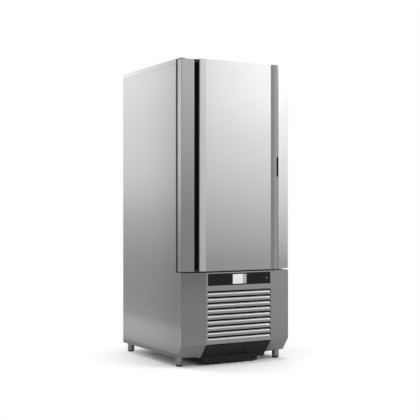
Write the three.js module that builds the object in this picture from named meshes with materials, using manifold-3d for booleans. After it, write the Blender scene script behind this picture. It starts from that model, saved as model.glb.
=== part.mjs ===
// Upright blast chiller: an insulated chamber with a left-hung door over a condensing unit.
// Millimetres, +Z up, front towards -Y. The origin is on the floor, under the middle of the outer box.
import * as THREE from "three";
import Module from "manifold-3d";
import { mergeVertices } from "three/addons/utils/BufferGeometryUtils.js";

const wasm = await Module();
wasm.setup();

// ---------------------------------------------------------------- driving dimensions
const HEIGHT = 1970; // floor to cabinet top
const WIDTH = 814; // over the side panels
const CORNER_DEPTH = 892; // back panel to the front corners
const BOW = 32; // how far the flat middle of the front stands before its corners
const FLAT_WIDTH = 492; // crease to crease
const LIP_REACH = 16; // how far the pull lip stands before the flat
const SHEET = 1.5; // steel sheet
const SEAT = 0.3; // gap between pieces that touch
const INSULATION = 60;
const LEDGE_Z = 603; // top of the lower body
const BEND_Z = 143; // where the front begins to slope back
const BASE_Z = 59; // underside of the cabinet
const BEVEL_RUN = 65; // how far the slope goes back
const DOOR_ZONE = 73; // front corner to the door frame
const FLANGE = 30; // turned-down edge of the top cover
const COMPARTMENT_FLOOR = 3; // base plate
const CEILING_GAP = 10; // ledge to door
const LEDGE_UNDER = 50; // how far the ledge runs in under the door frame

// sides of round shapes
const ROUND_FINE = 24;
const ROUND = 16;
const ROUND_SMALL = 12;
const ROUND_TINY = 8;
const BEND_STEPS = 3;

// vents in the back panel
const VENT_ROWS = 6;
const VENT_PITCH = 50;
const VENT_WIDTH = 180;
const VENT_HEIGHT = 14;
const VENT_X = 120; // middle of each column
const VENT_FIRST_Z = 180;

// door
const DOOR_THICKNESS = 51; // at the front corners
const DOOR_SIDE_INSET = 1;
const DOOR_TOP_GAP = 3; // below the cabinet top
const HINGE_STRIP_DROP = 4.5; // hinge strip below the main skin's top
const HINGE_STRIP = 84; // width of the hinge-side strip
const GROOVE = 32; // width of the black groove
const GROOVE_DEPTH = 32;
const PROFILE_WALL = 2;
const GROOVE_CAP_TOP = 20;
const GROOVE_CAP_BOTTOM = 13;
const FOLD_RADIUS = 4;
const STRIP_BEND = 3.5; // the strip beside the groove stands this far behind the flat at its fold
const LIP_WIDTH = 44;
const LIP_EDGE = 8; // thickness of the lip's edge
const RECESS_INSET = 10; // flat's edge to the recess behind the lip
const RECESS_WIDTH = 60;
const RECESS_DEPTH = 28;
const GRIP_LENGTH = 126;
const GRIP_WIDTH = 9;
const LINER_PLATE = 1.5;
const LINER_BOSS = 8;
const BOSS_INSET = 120;
const GASKET_WIDTH = 22;
const GASKET_INSET = 24; // door's edge to the gasket's
const PIVOT_INSET = 20; // from the door's side and from its back
const HINGE_PIN_R = 7;
const HINGE_PLATE = 6;
const HINGE_HALF = 19;
const HINGE_PIN_LENGTH = 36;
const HINGE_FLANGE = 3;
const HINGE_NOSE = 21; // pivot to the plate's front edge
const GRIP_SETBACK = 0.6;
const FOLD_SHARE = 0.3; // where the rounded fold crosses its corner
const PIN_CLEARANCE = 0.3;

// service panel
const SEAM = 1.5;
const PANEL_RETURN = 14;
const PANEL_PIN_R = 1.8;
const PANEL_PIN_INSET = 2.5;
const LOUVRE_COUNT = 9;
const LOUVRE_PITCH = 36.4;
const LOUVRE_MARGIN = 3.25; // from the panel's sides
const LOUVRE_SLOT = 10;
const LOUVRE_RISE = 13;
const LOUVRE_DEPTH = 13;
const LOUVRE_TOP_Z = 486;
const GLASS_LEFT_MARGIN = 13.05; // from the panel's left side
const GLASS_RIGHT_MARGIN = 3.45;
const GLASS_HEIGHT = 77;
const GLASS_TOP_GAP = 5;
const GLASS_THICKNESS = 4;
const GLASS_PROUD = 1;
const SCREEN_WIDTH = 104;
const SCREEN_HEIGHT = 62;
const SCREEN_DEPTH = 8;
const SCREEN_SETBACK = 0.4;
const BOARD_THICKNESS = 2;
const BOARD_INSET = 18;
const LIGHT_R = 4.5;
const LIGHT_INSET = 29;

// drip tray
const TRAY_FRONT_MARGIN = 1.75; // inside the service panel's sides
const TRAY_FRONT_TOP = 136;
const TRAY_SKIRT_Z = 52;
const TRAY_FLOOR_Z = 12;
const TRAY_WALL = 3;
const TRAY_BACK_Y = -70;
const TRAY_LEFT = -226;
const TRAY_RIGHT = 183;
const TRAY_STEP_Z = 32;
const TRAY_STEP_WIDTH = 52;
const TRAY_RIM = 9;
const TRAY_RIM_Z = 47;
const TRAY_RIM_THICKNESS = 2;
const TRAY_SLIDE_GAP = 0.6;
const TRAY_LID_GAP = 3;
const GRIP_SLOT_WIDTH = 109;
const GRIP_SLOT_LOW = 60;
const GRIP_SLOT_HIGH = 88;
const SILL_RECESS = 35; // finger room behind the tray's front
const SILL_STRIP = 5.5;
const SILL_FOOT = 10;
const RAIL_START = 10; // behind the sill
const RIM_START = 12;

// feet
const LEG_R = 24;
const LEG_SIDE_INSET = 38;
const LEG_FRONT_INSET = 99;
const LEG_BACK_INSET = 53;
const FOOT_R = 21;
const FOOT_PAD = 9;
const STEM_R = 8;
const STEM_LENGTH = 42;
const FOOT_CHAMFER = 2;

// condensing unit
const CONDENSER_WIDTH = 400;
const CONDENSER_HEIGHT = 400;
const CONDENSER_DEPTH = 60;
const CONDENSER_FRONT = -345;
const FIN_COUNT = 9;
const FIN_THICKNESS = 2;
const COIL_TUBE_R = 5;
const HEADER_R = 8;
const HEADER_INSET = 25; // coil's ends to the header's
const CONDENSER_TUBES = 3;
const SHROUD_DEPTH = 36;
const CONDENSER_FAN_R = 150;
const CONDENSER_FAN_DEPTH = 26;
const FAN_TIP_GAP = 6;
const FAN_HUB_R = 38;
const FAN_BLADES = 5;
const BLADE_THICKNESS = 2;
const BLADE_CHORD = 1.9; // of the rotor's depth
const BLADE_PITCH = 0.5;
const MOTOR_R = 42;
const MOTOR_LENGTH = 60;
const MOTOR_STANDOFF = 14;
const MOTOR_NECK_R = 6;
const COMPRESSOR_R = 112;
const COMPRESSOR_HEIGHT = 300;
const COMPRESSOR_SIDE_INSET = 217; // from the cabinet's right side
const COMPRESSOR_Y = 120;
const COMPRESSOR_FOOT = 16;
const COMPRESSOR_PLATE = 4;
const COMPRESSOR_PLATE_HALF = 106;
const COMPRESSOR_DOME = 40;
const SHOULDER = 0.92;
const CROWN = 0.62;
const MOUNT_R = 12;
const STUB_RISE = 20;
const STUB_WALL = 1;
const SUCTION_STUB = [50, 60]; // from the compressor's middle
const DISCHARGE_STUB = [10, -70];
const RECEIVER_R = 52;
const RECEIVER_HEIGHT = 270;
const RECEIVER_X = -60;
const RECEIVER_Y = 190;
const RECEIVER_DOME = 21;
const RECEIVER_END_R = 34;
const RECEIVER_PORT = 20; // ports to either side of its middle
const BOX_WIDTH = 120;
const BOX_DEPTH = 260;
const BOX_HEIGHT = 240;
const BOX_FRONT = -70;
const BOX_Z = 320;
const BOX_LID = 12;
const PIPE_R = 6;
const SUCTION_R = 8;
const PIPE_BEND = 22;
const PIPE_LOW = 75; // height of the line along the floor
const LINES_DROP = 70; // lines cross this far under the ledge
const DISCHARGE_RISE = 85;
const OUTLET_RISE = 50;
const PIPE_HOLE_GAP = 2;
const DRIER_R = 20;
const DRIER_LENGTH = 110;
const DRIER_RISE = 60;
const DRIER_NECK = 0.5; // end cones
const GLAND_R = 11;
const GLAND_SIDE_INSET = 107; // from the cabinet's left side
const GLAND_BACK_INSET = 80;
const GLAND_DROP = 18;
const GLAND_CHAMFER = 3;

// chamber
const FAN_PANEL_Y = 170;
const FAN_PANEL_HALF = 225;
const FAN_PANEL_LOW = 60; // above the chamber floor
const FAN_PANEL_HIGH = 60; // below the chamber ceiling
const FAN_PANEL_RETURN = 12;
const FAN_R = 140;
const FAN_SPACING = 560;
const FAN_DEPTH = 22;
const FAN_SETBACK = 8;
const FAN_MOTOR_R = 40;
const FAN_MOTOR_LENGTH = 26;
const SPIDER_ARMS = 3;
const SPIDER_ARM = 8;
const SPIDER_GAP = 4;
const SPIDER_PLATE = 3;
const GUARD_RINGS = 3;
const GUARD_SPOKES = 6;
const GUARD_SIDES = 16;
const GUARD_BAR = 7;
const HINGE_KNUCKLE_R = 4;
const KNUCKLE_SINK = 0.4; // how far the knuckle lies inside the sheet's face
const FAN_PIN_REACH = 18;
const EAR_REACH = 20;
const COIL_SIDE_GAP = 43.4; // chamber wall to the fins
const COIL_END_GAP = 80.65; // above and below
const COIL_DEPTH = 95;
const EVAPORATOR_TUBES = 3;
const RACK_DEPTH = 430;
const RACK_FRONT = -300;
const RACK_PITCH = 110;
const RACK_FIRST = 90; // above the chamber floor
const RACK_POST = 14;
const RACK_HEADROOM = 60; // at least this much over the racks
const POST_INSET = 60;
const RACK_STANDOFF = 40.1; // chamber wall to the trays' room: 606 mm between the racks for 600 mm trays
const RUNNER_WIDTH = 22;
const RUNNER_LIP = 10;
const RACK_TIE_INSET = 40;
const RACK_TIE_RISE = 20;
const DRAIN_R = 12;
const DRAIN_WALL = 2;
const DRAIN_X = -60;
const DRAIN_Y = -170;

// ---------------------------------------------------------------- places worked out from them
const halfWidth = WIDTH / 2;
const backY = (CORNER_DEPTH + BOW + LIP_REACH) / 2;
const cornerY = backY - CORNER_DEPTH;
const flatY = cornerY - BOW;
const crease = FLAT_WIDTH / 2;
const frameY = cornerY + DOOR_ZONE;
const topZ = HEIGHT;
const skinTop = topZ - SHEET - SEAT;
const doorBottom = LEDGE_Z + CEILING_GAP;
const doorTop = topZ - DOOR_TOP_GAP;
const stripTop = doorTop - HINGE_STRIP_DROP;
const doorMiddle = (doorBottom + doorTop) / 2;
const doorHalf = halfWidth - DOOR_SIDE_INSET;
const doorBack = cornerY + DOOR_THICKNESS;
const pivotX = -doorHalf + PIVOT_INSET - DOOR_SIDE_INSET;
const pivotY = doorBack - PIVOT_INSET;
const grooveLeft = -doorHalf + HINGE_STRIP;
const grooveRight = grooveLeft + GROOVE;
const insideX = halfWidth - SHEET - SEAT;
const foamX = insideX - INSULATION;
const linerX = foamX - SEAT - SHEET;
const foamFloor = LEDGE_Z + SEAT;
const chamberFloor = foamFloor + INSULATION + SEAT + SHEET;
const foamTop = skinTop;
const chamberTop = foamTop - INSULATION - SEAT - SHEET;
const foamBack = backY - SHEET - SEAT;
const chamberBack = foamBack - INSULATION - SEAT - SHEET;
const foamFront = frameY + SHEET + SEAT;
const floorTop = BASE_Z + COMPARTMENT_FLOOR;
const seatOnFloor = floorTop + SEAT;

// front of the lower body and the door, by distance from the middle
function frontY(x) {
  const outside = Math.max(0, Math.abs(x) - crease);
  return flatY + (outside * BOW) / (halfWidth - crease);
}

// how far the bevel has gone back at a height
function bevelShift(z) {
  return (Math.max(0, BEND_Z - z) * BEVEL_RUN) / (BEND_Z - BASE_Z);
}

// ---------------------------------------------------------------- geometry helpers
function box(x0, x1, y0, y1, z0, z1) {
  const geometry = new THREE.BoxGeometry(x1 - x0, y1 - y0, z1 - z0);
  geometry.translate((x0 + x1) / 2, (y0 + y1) / 2, (z0 + z1) / 2);
  return geometry;
}

function outline(points) {
  return new THREE.Shape(points.map(([u, v]) => new THREE.Vector2(u, v)));
}

// outline in X and Y, raised from z0 to z1
function prismZ(points, z0, z1) {
  const geometry = new THREE.ExtrudeGeometry(outline(points), { depth: z1 - z0, bevelEnabled: false });
  geometry.translate(0, 0, z0);
  return geometry;
}

// outline in Y and Z, drawn out from x0 to x1
function prismX(points, x0, x1) {
  const geometry = prismZ(points, x0, x1);
  const turn = new THREE.Matrix4().set(0, 0, 1, 0, 1, 0, 0, 0, 0, 1, 0, 0, 0, 0, 0, 1);
  geometry.applyMatrix4(turn);
  return geometry;
}

// outline in X and Z, drawn out from y0 to y1
function prismY(points, y0, y1) {
  const geometry = prismZ(points, -y1, -y0);
  geometry.rotateX(Math.PI / 2);
  return geometry;
}

function cylinderZ(x, y, z0, z1, radius, sides = ROUND) {
  const geometry = new THREE.CylinderGeometry(radius, radius, z1 - z0, sides);
  geometry.rotateX(Math.PI / 2);
  geometry.translate(x, y, (z0 + z1) / 2);
  return geometry;
}

function cylinderY(x, z, y0, y1, radius, sides = ROUND) {
  const geometry = new THREE.CylinderGeometry(radius, radius, y1 - y0, sides);
  geometry.translate(x, (y0 + y1) / 2, z);
  return geometry;
}

function cylinderX(y, z, x0, x1, radius, sides = ROUND_TINY) {
  const geometry = new THREE.CylinderGeometry(radius, radius, x1 - x0, sides);
  geometry.rotateZ(Math.PI / 2);
  geometry.translate((x0 + x1) / 2, y, z);
  return geometry;
}

// a turned shape about a vertical axis; the profile lists [radius, height]
function turned(profile, x, y, sides = ROUND_FINE) {
  const points = profile.map(([r, z]) => new THREE.Vector2(r, z));
  const geometry = new THREE.LatheGeometry(points, sides);
  geometry.rotateX(Math.PI / 2);
  geometry.translate(x, y, 0);
  return geometry;
}

// straight runs with rounded corners; equal steps of the parameter go from one point to the next
class PipeLine extends THREE.Curve {
  constructor(points, bend) {
    super();
    const corners = points.map((p) => new THREE.Vector3(...p));
    this.centres = corners.flatMap((corner, i) => {
      if (i === 0 || i === corners.length - 1) {
        return [corner];
      }
      const back = corners[i - 1].clone().sub(corner);
      const ahead = corners[i + 1].clone().sub(corner);
      const run = Math.min(bend, back.length() / 2, ahead.length() / 2);
      const start = corner.clone().addScaledVector(back.normalize(), run);
      const end = corner.clone().addScaledVector(ahead.normalize(), run);
      return new THREE.QuadraticBezierCurve3(start, corner, end).getPoints(BEND_STEPS);
    });
  }

  get last() {
    return this.centres.length - 1;
  }

  heading(i) {
    const from = Math.min(Math.max(0, i), this.last - 1);
    return this.centres[from + 1].clone().sub(this.centres[from]).normalize();
  }

  getPointAt(t) {
    return this.centres[Math.round(t * this.last)].clone();
  }

  getTangentAt(t) {
    const i = Math.round(t * this.last);
    return this.heading(i - 1).add(this.heading(i)).normalize();
  }
}

function pipe(points, radius, bend = PIPE_BEND, sides = ROUND_TINY) {
  const extrudePath = new PipeLine(points, bend);
  const section = new THREE.Shape();
  section.absarc(0, 0, radius, 0, Math.PI * 2, false);
  const steps = extrudePath.last;
  const curveSegments = sides / 2;
  return new THREE.ExtrudeGeometry(section, { extrudePath, steps, curveSegments, bevelEnabled: false });
}

// the points moved to their left by a distance
function inward(points, distance) {
  return points.map((point, i) => {
    const before = points[Math.max(0, i - 1)];
    const after = points[Math.min(points.length - 1, i + 1)];
    const into = i === 0 ? direction(point, after) : direction(before, point);
    const out = i === points.length - 1 ? into : direction(point, after);
    const middle = normal(into).map((value, k) => value + normal(out)[k]);
    const scale = (2 * distance) / (middle[0] ** 2 + middle[1] ** 2);
    return [point[0] + middle[0] * scale, point[1] + middle[1] * scale];
  });
}

// a folded sheet: the outline follows the points and is one thickness deep on their left side
function foldedSheet(points) {
  return [...points, ...inward(points, SHEET).reverse()];
}

function direction(a, b) {
  const length = Math.hypot(b[0] - a[0], b[1] - a[1]);
  return [(b[0] - a[0]) / length, (b[1] - a[1]) / length];
}

function normal([u, v]) {
  return [-v, u];
}

function solid(geometry) {
  const plain = geometry.index ? geometry.toNonIndexed() : geometry.clone();
  plain.deleteAttribute("normal");
  plain.deleteAttribute("uv");
  const merged = mergeVertices(plain, 1e-4);
  const vertProperties = new Float32Array(merged.attributes.position.array);
  const triVerts = new Uint32Array(merged.index.array);
  return new wasm.Manifold(new wasm.Mesh({ numProp: 3, vertProperties, triVerts }));
}

function surface(manifold) {
  const mesh = manifold.getMesh();
  const geometry = new THREE.BufferGeometry();
  geometry.setAttribute("position", new THREE.BufferAttribute(mesh.vertProperties, 3));
  geometry.setIndex(new THREE.BufferAttribute(mesh.triVerts, 1));
  return geometry;
}

function join(...geometries) {
  return surface(geometries.map(solid).reduce((all, next) => all.add(next)));
}

function cut(geometry, ...tools) {
  return surface(tools.map(solid).reduce((rest, tool) => rest.subtract(tool), solid(geometry)));
}

function common(a, b) {
  return surface(solid(a).intersect(solid(b)));
}

function mirrored(geometry) {
  const copy = geometry.index ? geometry.toNonIndexed() : geometry.clone();
  const position = copy.attributes.position;
  for (let i = 0; i < position.count; i += 3) {
    const corners = [0, 2, 1].map((k) => [position.getX(i + k), position.getY(i + k), position.getZ(i + k)]);
    corners.forEach(([x, y, z], k) => position.setXYZ(i + k, -x, y, z));
  }
  return copy;
}

// ---------------------------------------------------------------- materials and the group
function finish(color, roughness, metalness) {
  return () => new THREE.MeshStandardMaterial({ color, roughness, metalness });
}

const steel = finish(0xc4c6c8, 0.35, 0.9);
const innerSteel = finish(0xcfd1d3, 0.3, 0.9);
const blackPlastic = finish(0x1b1c1e, 0.6, 0);
const blackGlass = finish(0x101113, 0.1, 0);
const foam = finish(0xe6dcb4, 0.9, 0);
const rubber = finish(0x2a2b2c, 0.85, 0);
const paint = finish(0x17181a, 0.5, 0.2);
const copper = finish(0xb4693c, 0.35, 1);
const aluminium = finish(0xb9bcc0, 0.4, 0.9);
const greyPlastic = finish(0x8d9093, 0.6, 0);
const circuit = finish(0x1f5a35, 0.6, 0);
const lit = finish(0xf2f4f6, 0.3, 0);

const chiller = new THREE.Group();

function add(name, geometry, material) {
  const mesh = new THREE.Mesh(geometry, material());
  mesh.name = name;
  chiller.add(mesh);
  return mesh;
}

// ---------------------------------------------------------------- cabinet
const sideOutline = [
  [backY, BASE_Z],
  [backY, topZ - FLANGE - SEAT],
  [frameY, topZ - FLANGE - SEAT],
  [frameY, LEDGE_Z],
  [cornerY, LEDGE_Z],
  [cornerY, BEND_Z],
  [cornerY + BEVEL_RUN, BASE_Z],
];
const leftSide = prismX(sideOutline, -halfWidth, -halfWidth + SHEET);
add("left_side_panel", leftSide, steel);
add("right_side_panel", mirrored(leftSide), steel);

const vents = Array.from({ length: VENT_ROWS }, (_, i) => VENT_FIRST_Z + i * VENT_PITCH).flatMap(
  (z) => [-VENT_X, VENT_X].map((x) => box(x - VENT_WIDTH / 2, x + VENT_WIDTH / 2,
    backY - 2 * SHEET, backY + SHEET, z, z + VENT_HEIGHT)));
const backSheet = box(-insideX, insideX, backY - SHEET, backY, floorTop + SEAT, skinTop);
add("back_panel", cut(backSheet, ...vents), steel);

const topBlock = box(-halfWidth, halfWidth, frameY, backY, topZ - FLANGE, topZ);
const topHollow = box(-halfWidth + SHEET, halfWidth - SHEET, frameY - SHEET, backY + SHEET,
  topZ - FLANGE - SHEET, topZ - SHEET);
add("top_cover", cut(topBlock, topHollow), steel);

const frameSheet = box(-insideX, insideX, frameY, frameY + SHEET, foamFloor, skinTop);
const frameHole = box(-linerX, linerX, frameY - SHEET, frameY + 2 * SHEET, chamberFloor, chamberTop);
add("door_frame", cut(frameSheet, frameHole), innerSteel);

// what passes through the chamber floor
const coilBack = chamberBack - SEAT;
const coilHalf = linerX - COIL_SIDE_GAP;
const headerX = coilHalf + 2 * COIL_TUBE_R;
const headerY = coilBack - COIL_DEPTH / 2;
const pipeHoles = [
  cylinderZ(headerX, headerY, LEDGE_Z - SHEET, chamberFloor + SHEET, SUCTION_R + PIPE_HOLE_GAP, ROUND_SMALL),
  cylinderZ(-headerX, headerY, LEDGE_Z - SHEET, chamberFloor + SHEET, PIPE_R + PIPE_HOLE_GAP, ROUND_SMALL),
  cylinderZ(DRAIN_X, DRAIN_Y, LEDGE_Z - 2 * SHEET, chamberFloor + SHEET, DRAIN_R + SEAT, ROUND_SMALL),
];

const foamBlock = box(-insideX, insideX, foamFront, foamBack, foamFloor, foamTop);
const foamHollow = box(-foamX, foamX, foamFront - SHEET, chamberBack + SHEET + SEAT,
  chamberFloor - SHEET - SEAT, chamberTop + SHEET + SEAT);
add("cabinet_insulation", cut(foamBlock, foamHollow, ...pipeHoles), foam);

const linerBlock = box(-linerX - SHEET, linerX + SHEET, foamFront, chamberBack + SHEET,
  chamberFloor - SHEET, chamberTop + SHEET);
const linerHollow = box(-linerX, linerX, foamFront - SHEET, chamberBack, chamberFloor, chamberTop);
add("chamber_liner", cut(linerBlock, linerHollow, ...pipeHoles), innerSteel);

// ---------------------------------------------------------------- lower front
const ledgeBack = frameY + LEDGE_UNDER;
const ledgeOutline = [
  [-insideX, ledgeBack],
  [-insideX, frontY(insideX)],
  [-crease, flatY],
  [crease, flatY],
  [insideX, frontY(insideX)],
  [insideX, ledgeBack],
];
const panelPivotX = -crease + SEAM / 2 + PANEL_PIN_INSET;
const panelPivotY = flatY + PANEL_PIN_INSET;
const panelHalf = crease - SEAM / 2;
const panelTop = LEDGE_Z - SHEET - SEAT;
const panelPinHole = cylinderZ(panelPivotX, panelPivotY, BASE_Z, LEDGE_Z + SHEET, PANEL_PIN_R + PIN_CLEARANCE,
  ROUND_TINY);
add("ledge_plate", cut(prismZ(ledgeOutline, LEDGE_Z - SHEET, LEDGE_Z), panelPinHole), steel);

const facetInner = crease + SEAM / 2;
const facetOutline = foldedSheet([
  [-facetInner, frontY(facetInner) + PANEL_RETURN + SHEET],
  [-facetInner, frontY(facetInner)],
  [-insideX, frontY(insideX)],
  [-insideX, frontY(insideX) + PANEL_RETURN],
].reverse());
const facetUpper = prismZ(facetOutline, BEND_Z, panelTop);
const facetLower = prismZ(facetOutline, BASE_Z, BEND_Z);
const slope = BEVEL_RUN / (BEND_Z - BASE_Z);
const shear = new THREE.Matrix4().makeShear(0, 0, 0, 0, 0, -slope);
facetLower.translate(0, 0, -BEND_Z);
facetLower.applyMatrix4(shear);
facetLower.translate(0, 0, BEND_Z);
const leftFacet = join(facetUpper, facetLower);
add("front_facet_left", leftFacet, steel);
add("front_facet_right", mirrored(leftFacet), steel);

// sill behind the drip tray's front: a strip, a step back for fingers, then down to the base
const stripLow = BEND_Z - SILL_STRIP;
const sillLowY = flatY + bevelShift(seatOnFloor) + SILL_RECESS;
const sillOutline = foldedSheet([
  [flatY + PANEL_RETURN + LOUVRE_DEPTH, BEND_Z],
  [flatY, BEND_Z],
  [flatY + bevelShift(stripLow), stripLow],
  [flatY + bevelShift(stripLow) + SILL_RECESS, stripLow],
  [sillLowY, seatOnFloor],
  [sillLowY + SILL_FOOT, seatOnFloor],
]);
const sill = prismX(sillOutline, -facetInner + SEAT, facetInner - SEAT);
add("front_sill", cut(sill, panelPinHole), steel);

// base plate with the tray's rails
const baseCornerY = frontY(insideX) + BEVEL_RUN + PANEL_RETURN + SHEET;
const baseCreaseY = frontY(facetInner) + BEVEL_RUN + PANEL_RETURN + 2 * SHEET;
const baseOutline = [
  [-insideX, backY],
  [-insideX, baseCornerY],
  [-facetInner - SHEET, baseCreaseY],
  [-facetInner, sillLowY],
  [facetInner, sillLowY],
  [facetInner + SHEET, baseCreaseY],
  [insideX, baseCornerY],
  [insideX, backY],
];
const basePlate = prismZ(baseOutline, BASE_Z, floorTop);
const railLow = TRAY_RIM_Z - TRAY_SLIDE_GAP - SHEET;
const railFront = sillLowY + RAIL_START;
function rail(wallX, side) {
  const inner = wallX + side * TRAY_SLIDE_GAP;
  const outer = wallX + side * (TRAY_RIM + 2 * TRAY_SLIDE_GAP);
  const profile = [
    [outer + side * SHEET, BASE_Z + SHEET],
    [outer + side * SHEET, railLow],
    [inner, railLow],
    [inner, railLow + SHEET],
    [outer, railLow + SHEET],
    [outer, BASE_Z + SHEET],
  ];
  return prismY(profile, railFront, TRAY_BACK_Y);
}
const drainPort = cylinderZ(DRAIN_X, DRAIN_Y, BASE_Z - SHEET, floorTop + SHEET, DRAIN_R + SEAT, ROUND_SMALL);
const glandX = GLAND_SIDE_INSET - halfWidth;
const glandY = backY - GLAND_BACK_INSET;
const glandPort = cylinderZ(glandX, glandY, BASE_Z - SHEET, floorTop + SHEET, GLAND_R + SEAT, ROUND_SMALL);
const base = join(basePlate, rail(TRAY_LEFT, -1), rail(TRAY_RIGHT, 1));
add("base_plate", cut(base, drainPort, glandPort), steel);

// ---------------------------------------------------------------- service panel
const louvreHalf = panelHalf - LOUVRE_MARGIN;
const panelBottom = BEND_Z + SHEET + SEAT;
function louvreCut(i) {
  const top = LOUVRE_TOP_Z - i * LOUVRE_PITCH;
  return box(-louvreHalf, louvreHalf, flatY - SHEET, flatY + 2 * SHEET,
    top - LOUVRE_SLOT - LOUVRE_RISE, top);
}
function louvreBlade(i) {
  const top = LOUVRE_TOP_Z - i * LOUVRE_PITCH;
  const low = top - LOUVRE_SLOT - LOUVRE_RISE;
  const profile = [
    [flatY, low - SHEET],
    [flatY, low],
    [flatY + LOUVRE_DEPTH, low + LOUVRE_RISE],
    [flatY + LOUVRE_DEPTH + SHEET, low + LOUVRE_RISE - SHEET],
    [flatY + SHEET, low - SHEET],
  ];
  const blade = prismX(profile, -louvreHalf - SHEET, louvreHalf + SHEET);
  const cheek = [
    [flatY + SHEET / 2, low - SHEET],
    [flatY + SHEET / 2, top],
    [flatY + LOUVRE_DEPTH + SHEET, top],
    [flatY + LOUVRE_DEPTH + SHEET, low + LOUVRE_RISE - SHEET],
    [flatY + SHEET, low - SHEET],
  ];
  const left = prismX(cheek, -louvreHalf - SHEET, -louvreHalf);
  return [blade, left, mirrored(left)];
}
const louvres = Array.from({ length: LOUVRE_COUNT }, (_, i) => i);
const panelBlock = box(-panelHalf, panelHalf, flatY, flatY + PANEL_RETURN, panelBottom, panelTop);
const panelHollow = box(-panelHalf + SHEET, panelHalf - SHEET, flatY + SHEET, flatY + 2 * PANEL_RETURN,
  panelBottom + SHEET, panelTop - SHEET);
const glassLeft = GLASS_LEFT_MARGIN - panelHalf;
const glassRight = panelHalf - GLASS_RIGHT_MARGIN;
const glassMiddle = (glassLeft + glassRight) / 2;
const glassTop = panelTop - GLASS_TOP_GAP;
const glassLow = glassTop - GLASS_HEIGHT;
const glassWindow = box(glassLeft - SEAT, glassRight + SEAT, flatY - SHEET, flatY + 2 * SHEET,
  glassLow - SEAT, glassTop + SEAT);
const panelPins = cylinderZ(panelPivotX, panelPivotY, BEND_Z - 2 * SHEET, LEDGE_Z - SEAT, PANEL_PIN_R,
  ROUND_TINY);
const panelPinMiddle = box(-panelHalf, -crease + PANEL_RETURN, flatY - SHEET, flatY + PANEL_RETURN,
  panelBottom + SHEET, panelTop - SHEET);
const panelSheets = cut(panelBlock, panelHollow, glassWindow, ...louvres.map(louvreCut));
const endPins = cut(panelPins, panelPinMiddle);
add("service_panel", join(panelSheets, endPins, ...louvres.flatMap(louvreBlade)), steel);

const glassFront = flatY - GLASS_PROUD;
const screenLeft = glassMiddle - SCREEN_WIDTH / 2;
const screenLow = (glassLow + glassTop - SCREEN_HEIGHT) / 2;
const screenHole = box(screenLeft - SEAT, screenLeft + SCREEN_WIDTH + SEAT, glassFront - SHEET,
  glassFront + 2 * GLASS_THICKNESS, screenLow - SEAT, screenLow + SCREEN_HEIGHT + SEAT);
const lightX = glassRight - LIGHT_INSET;
const lightZ = (glassLow + glassTop) / 2;
const lightHole = cylinderY(lightX, lightZ, glassFront - SHEET, glassFront + 2 * GLASS_THICKNESS,
  LIGHT_R + SEAT);
const glass = box(glassLeft, glassRight, glassFront, glassFront + GLASS_THICKNESS, glassLow, glassTop);
add("control_glass", cut(glass, screenHole, lightHole), blackGlass);
const screenFront = glassFront + SCREEN_SETBACK;
add("display_screen", box(screenLeft, screenLeft + SCREEN_WIDTH, screenFront, screenFront + SCREEN_DEPTH,
  screenLow, screenLow + SCREEN_HEIGHT), lit);
const boardFront = screenFront + SCREEN_DEPTH + SEAT;
add("status_light", cylinderY(lightX, lightZ, screenFront, boardFront - SEAT, LIGHT_R), lit);
const board = box(glassLeft + BOARD_INSET, glassRight - BOARD_INSET, boardFront, boardFront + BOARD_THICKNESS,
  glassLow + SHEET, glassTop - SHEET);
add("control_board", board, circuit);

// ---------------------------------------------------------------- drip tray
const trayFrontHalf = panelHalf - TRAY_FRONT_MARGIN;
const skirtY = flatY + bevelShift(TRAY_SKIRT_Z);
const wallBack = TRAY_WALL * Math.hypot(1, BEVEL_RUN / (BEND_Z - BASE_Z));
const trayFrontOutline = [
  [-trayFrontHalf, TRAY_FRONT_TOP],
  [-trayFrontHalf, TRAY_SKIRT_Z],
  [TRAY_LEFT + SHEET, TRAY_FLOOR_Z],
  [TRAY_RIGHT, TRAY_FLOOR_Z],
  [TRAY_RIGHT, TRAY_STEP_Z],
  [TRAY_RIGHT + TRAY_STEP_WIDTH, TRAY_STEP_Z],
  [trayFrontHalf, TRAY_SKIRT_Z],
  [trayFrontHalf, TRAY_FRONT_TOP],
];
const trayFrontProfile = [
  [flatY + bevelShift(TRAY_FRONT_TOP), TRAY_FRONT_TOP],
  [skirtY, TRAY_SKIRT_Z],
  [skirtY, TRAY_FLOOR_Z],
  [skirtY + wallBack, TRAY_FLOOR_Z],
  [skirtY + wallBack, TRAY_SKIRT_Z],
  [flatY + bevelShift(TRAY_FRONT_TOP) + wallBack, TRAY_FRONT_TOP],
];
const trayFront = common(prismX(trayFrontProfile, -WIDTH, WIDTH), prismY(trayFrontOutline, -CORNER_DEPTH, 0));
const trayTop = BASE_Z - TRAY_LID_GAP;
const trayBox = box(TRAY_LEFT, TRAY_RIGHT, skirtY + SHEET, TRAY_BACK_Y, TRAY_FLOOR_Z, trayTop);
const trayHollow = box(TRAY_LEFT + TRAY_WALL, TRAY_RIGHT - TRAY_WALL, skirtY + wallBack,
  TRAY_BACK_Y - TRAY_WALL, TRAY_FLOOR_Z + TRAY_WALL, BASE_Z);
const rimFront = sillLowY + RIM_START;
const trayRims = box(TRAY_LEFT - TRAY_RIM, TRAY_RIGHT + TRAY_RIM, rimFront, TRAY_BACK_Y,
  TRAY_RIM_Z, TRAY_RIM_Z + TRAY_RIM_THICKNESS);
const gripX = glassMiddle / 2;
const gripSlot = box(gripX - GRIP_SLOT_WIDTH / 2, gripX + GRIP_SLOT_WIDTH / 2, flatY, skirtY + wallBack,
  GRIP_SLOT_LOW, GRIP_SLOT_HIGH);
add("drip_tray", cut(join(trayFront, trayBox, trayRims), trayHollow, gripSlot), blackPlastic);

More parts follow.
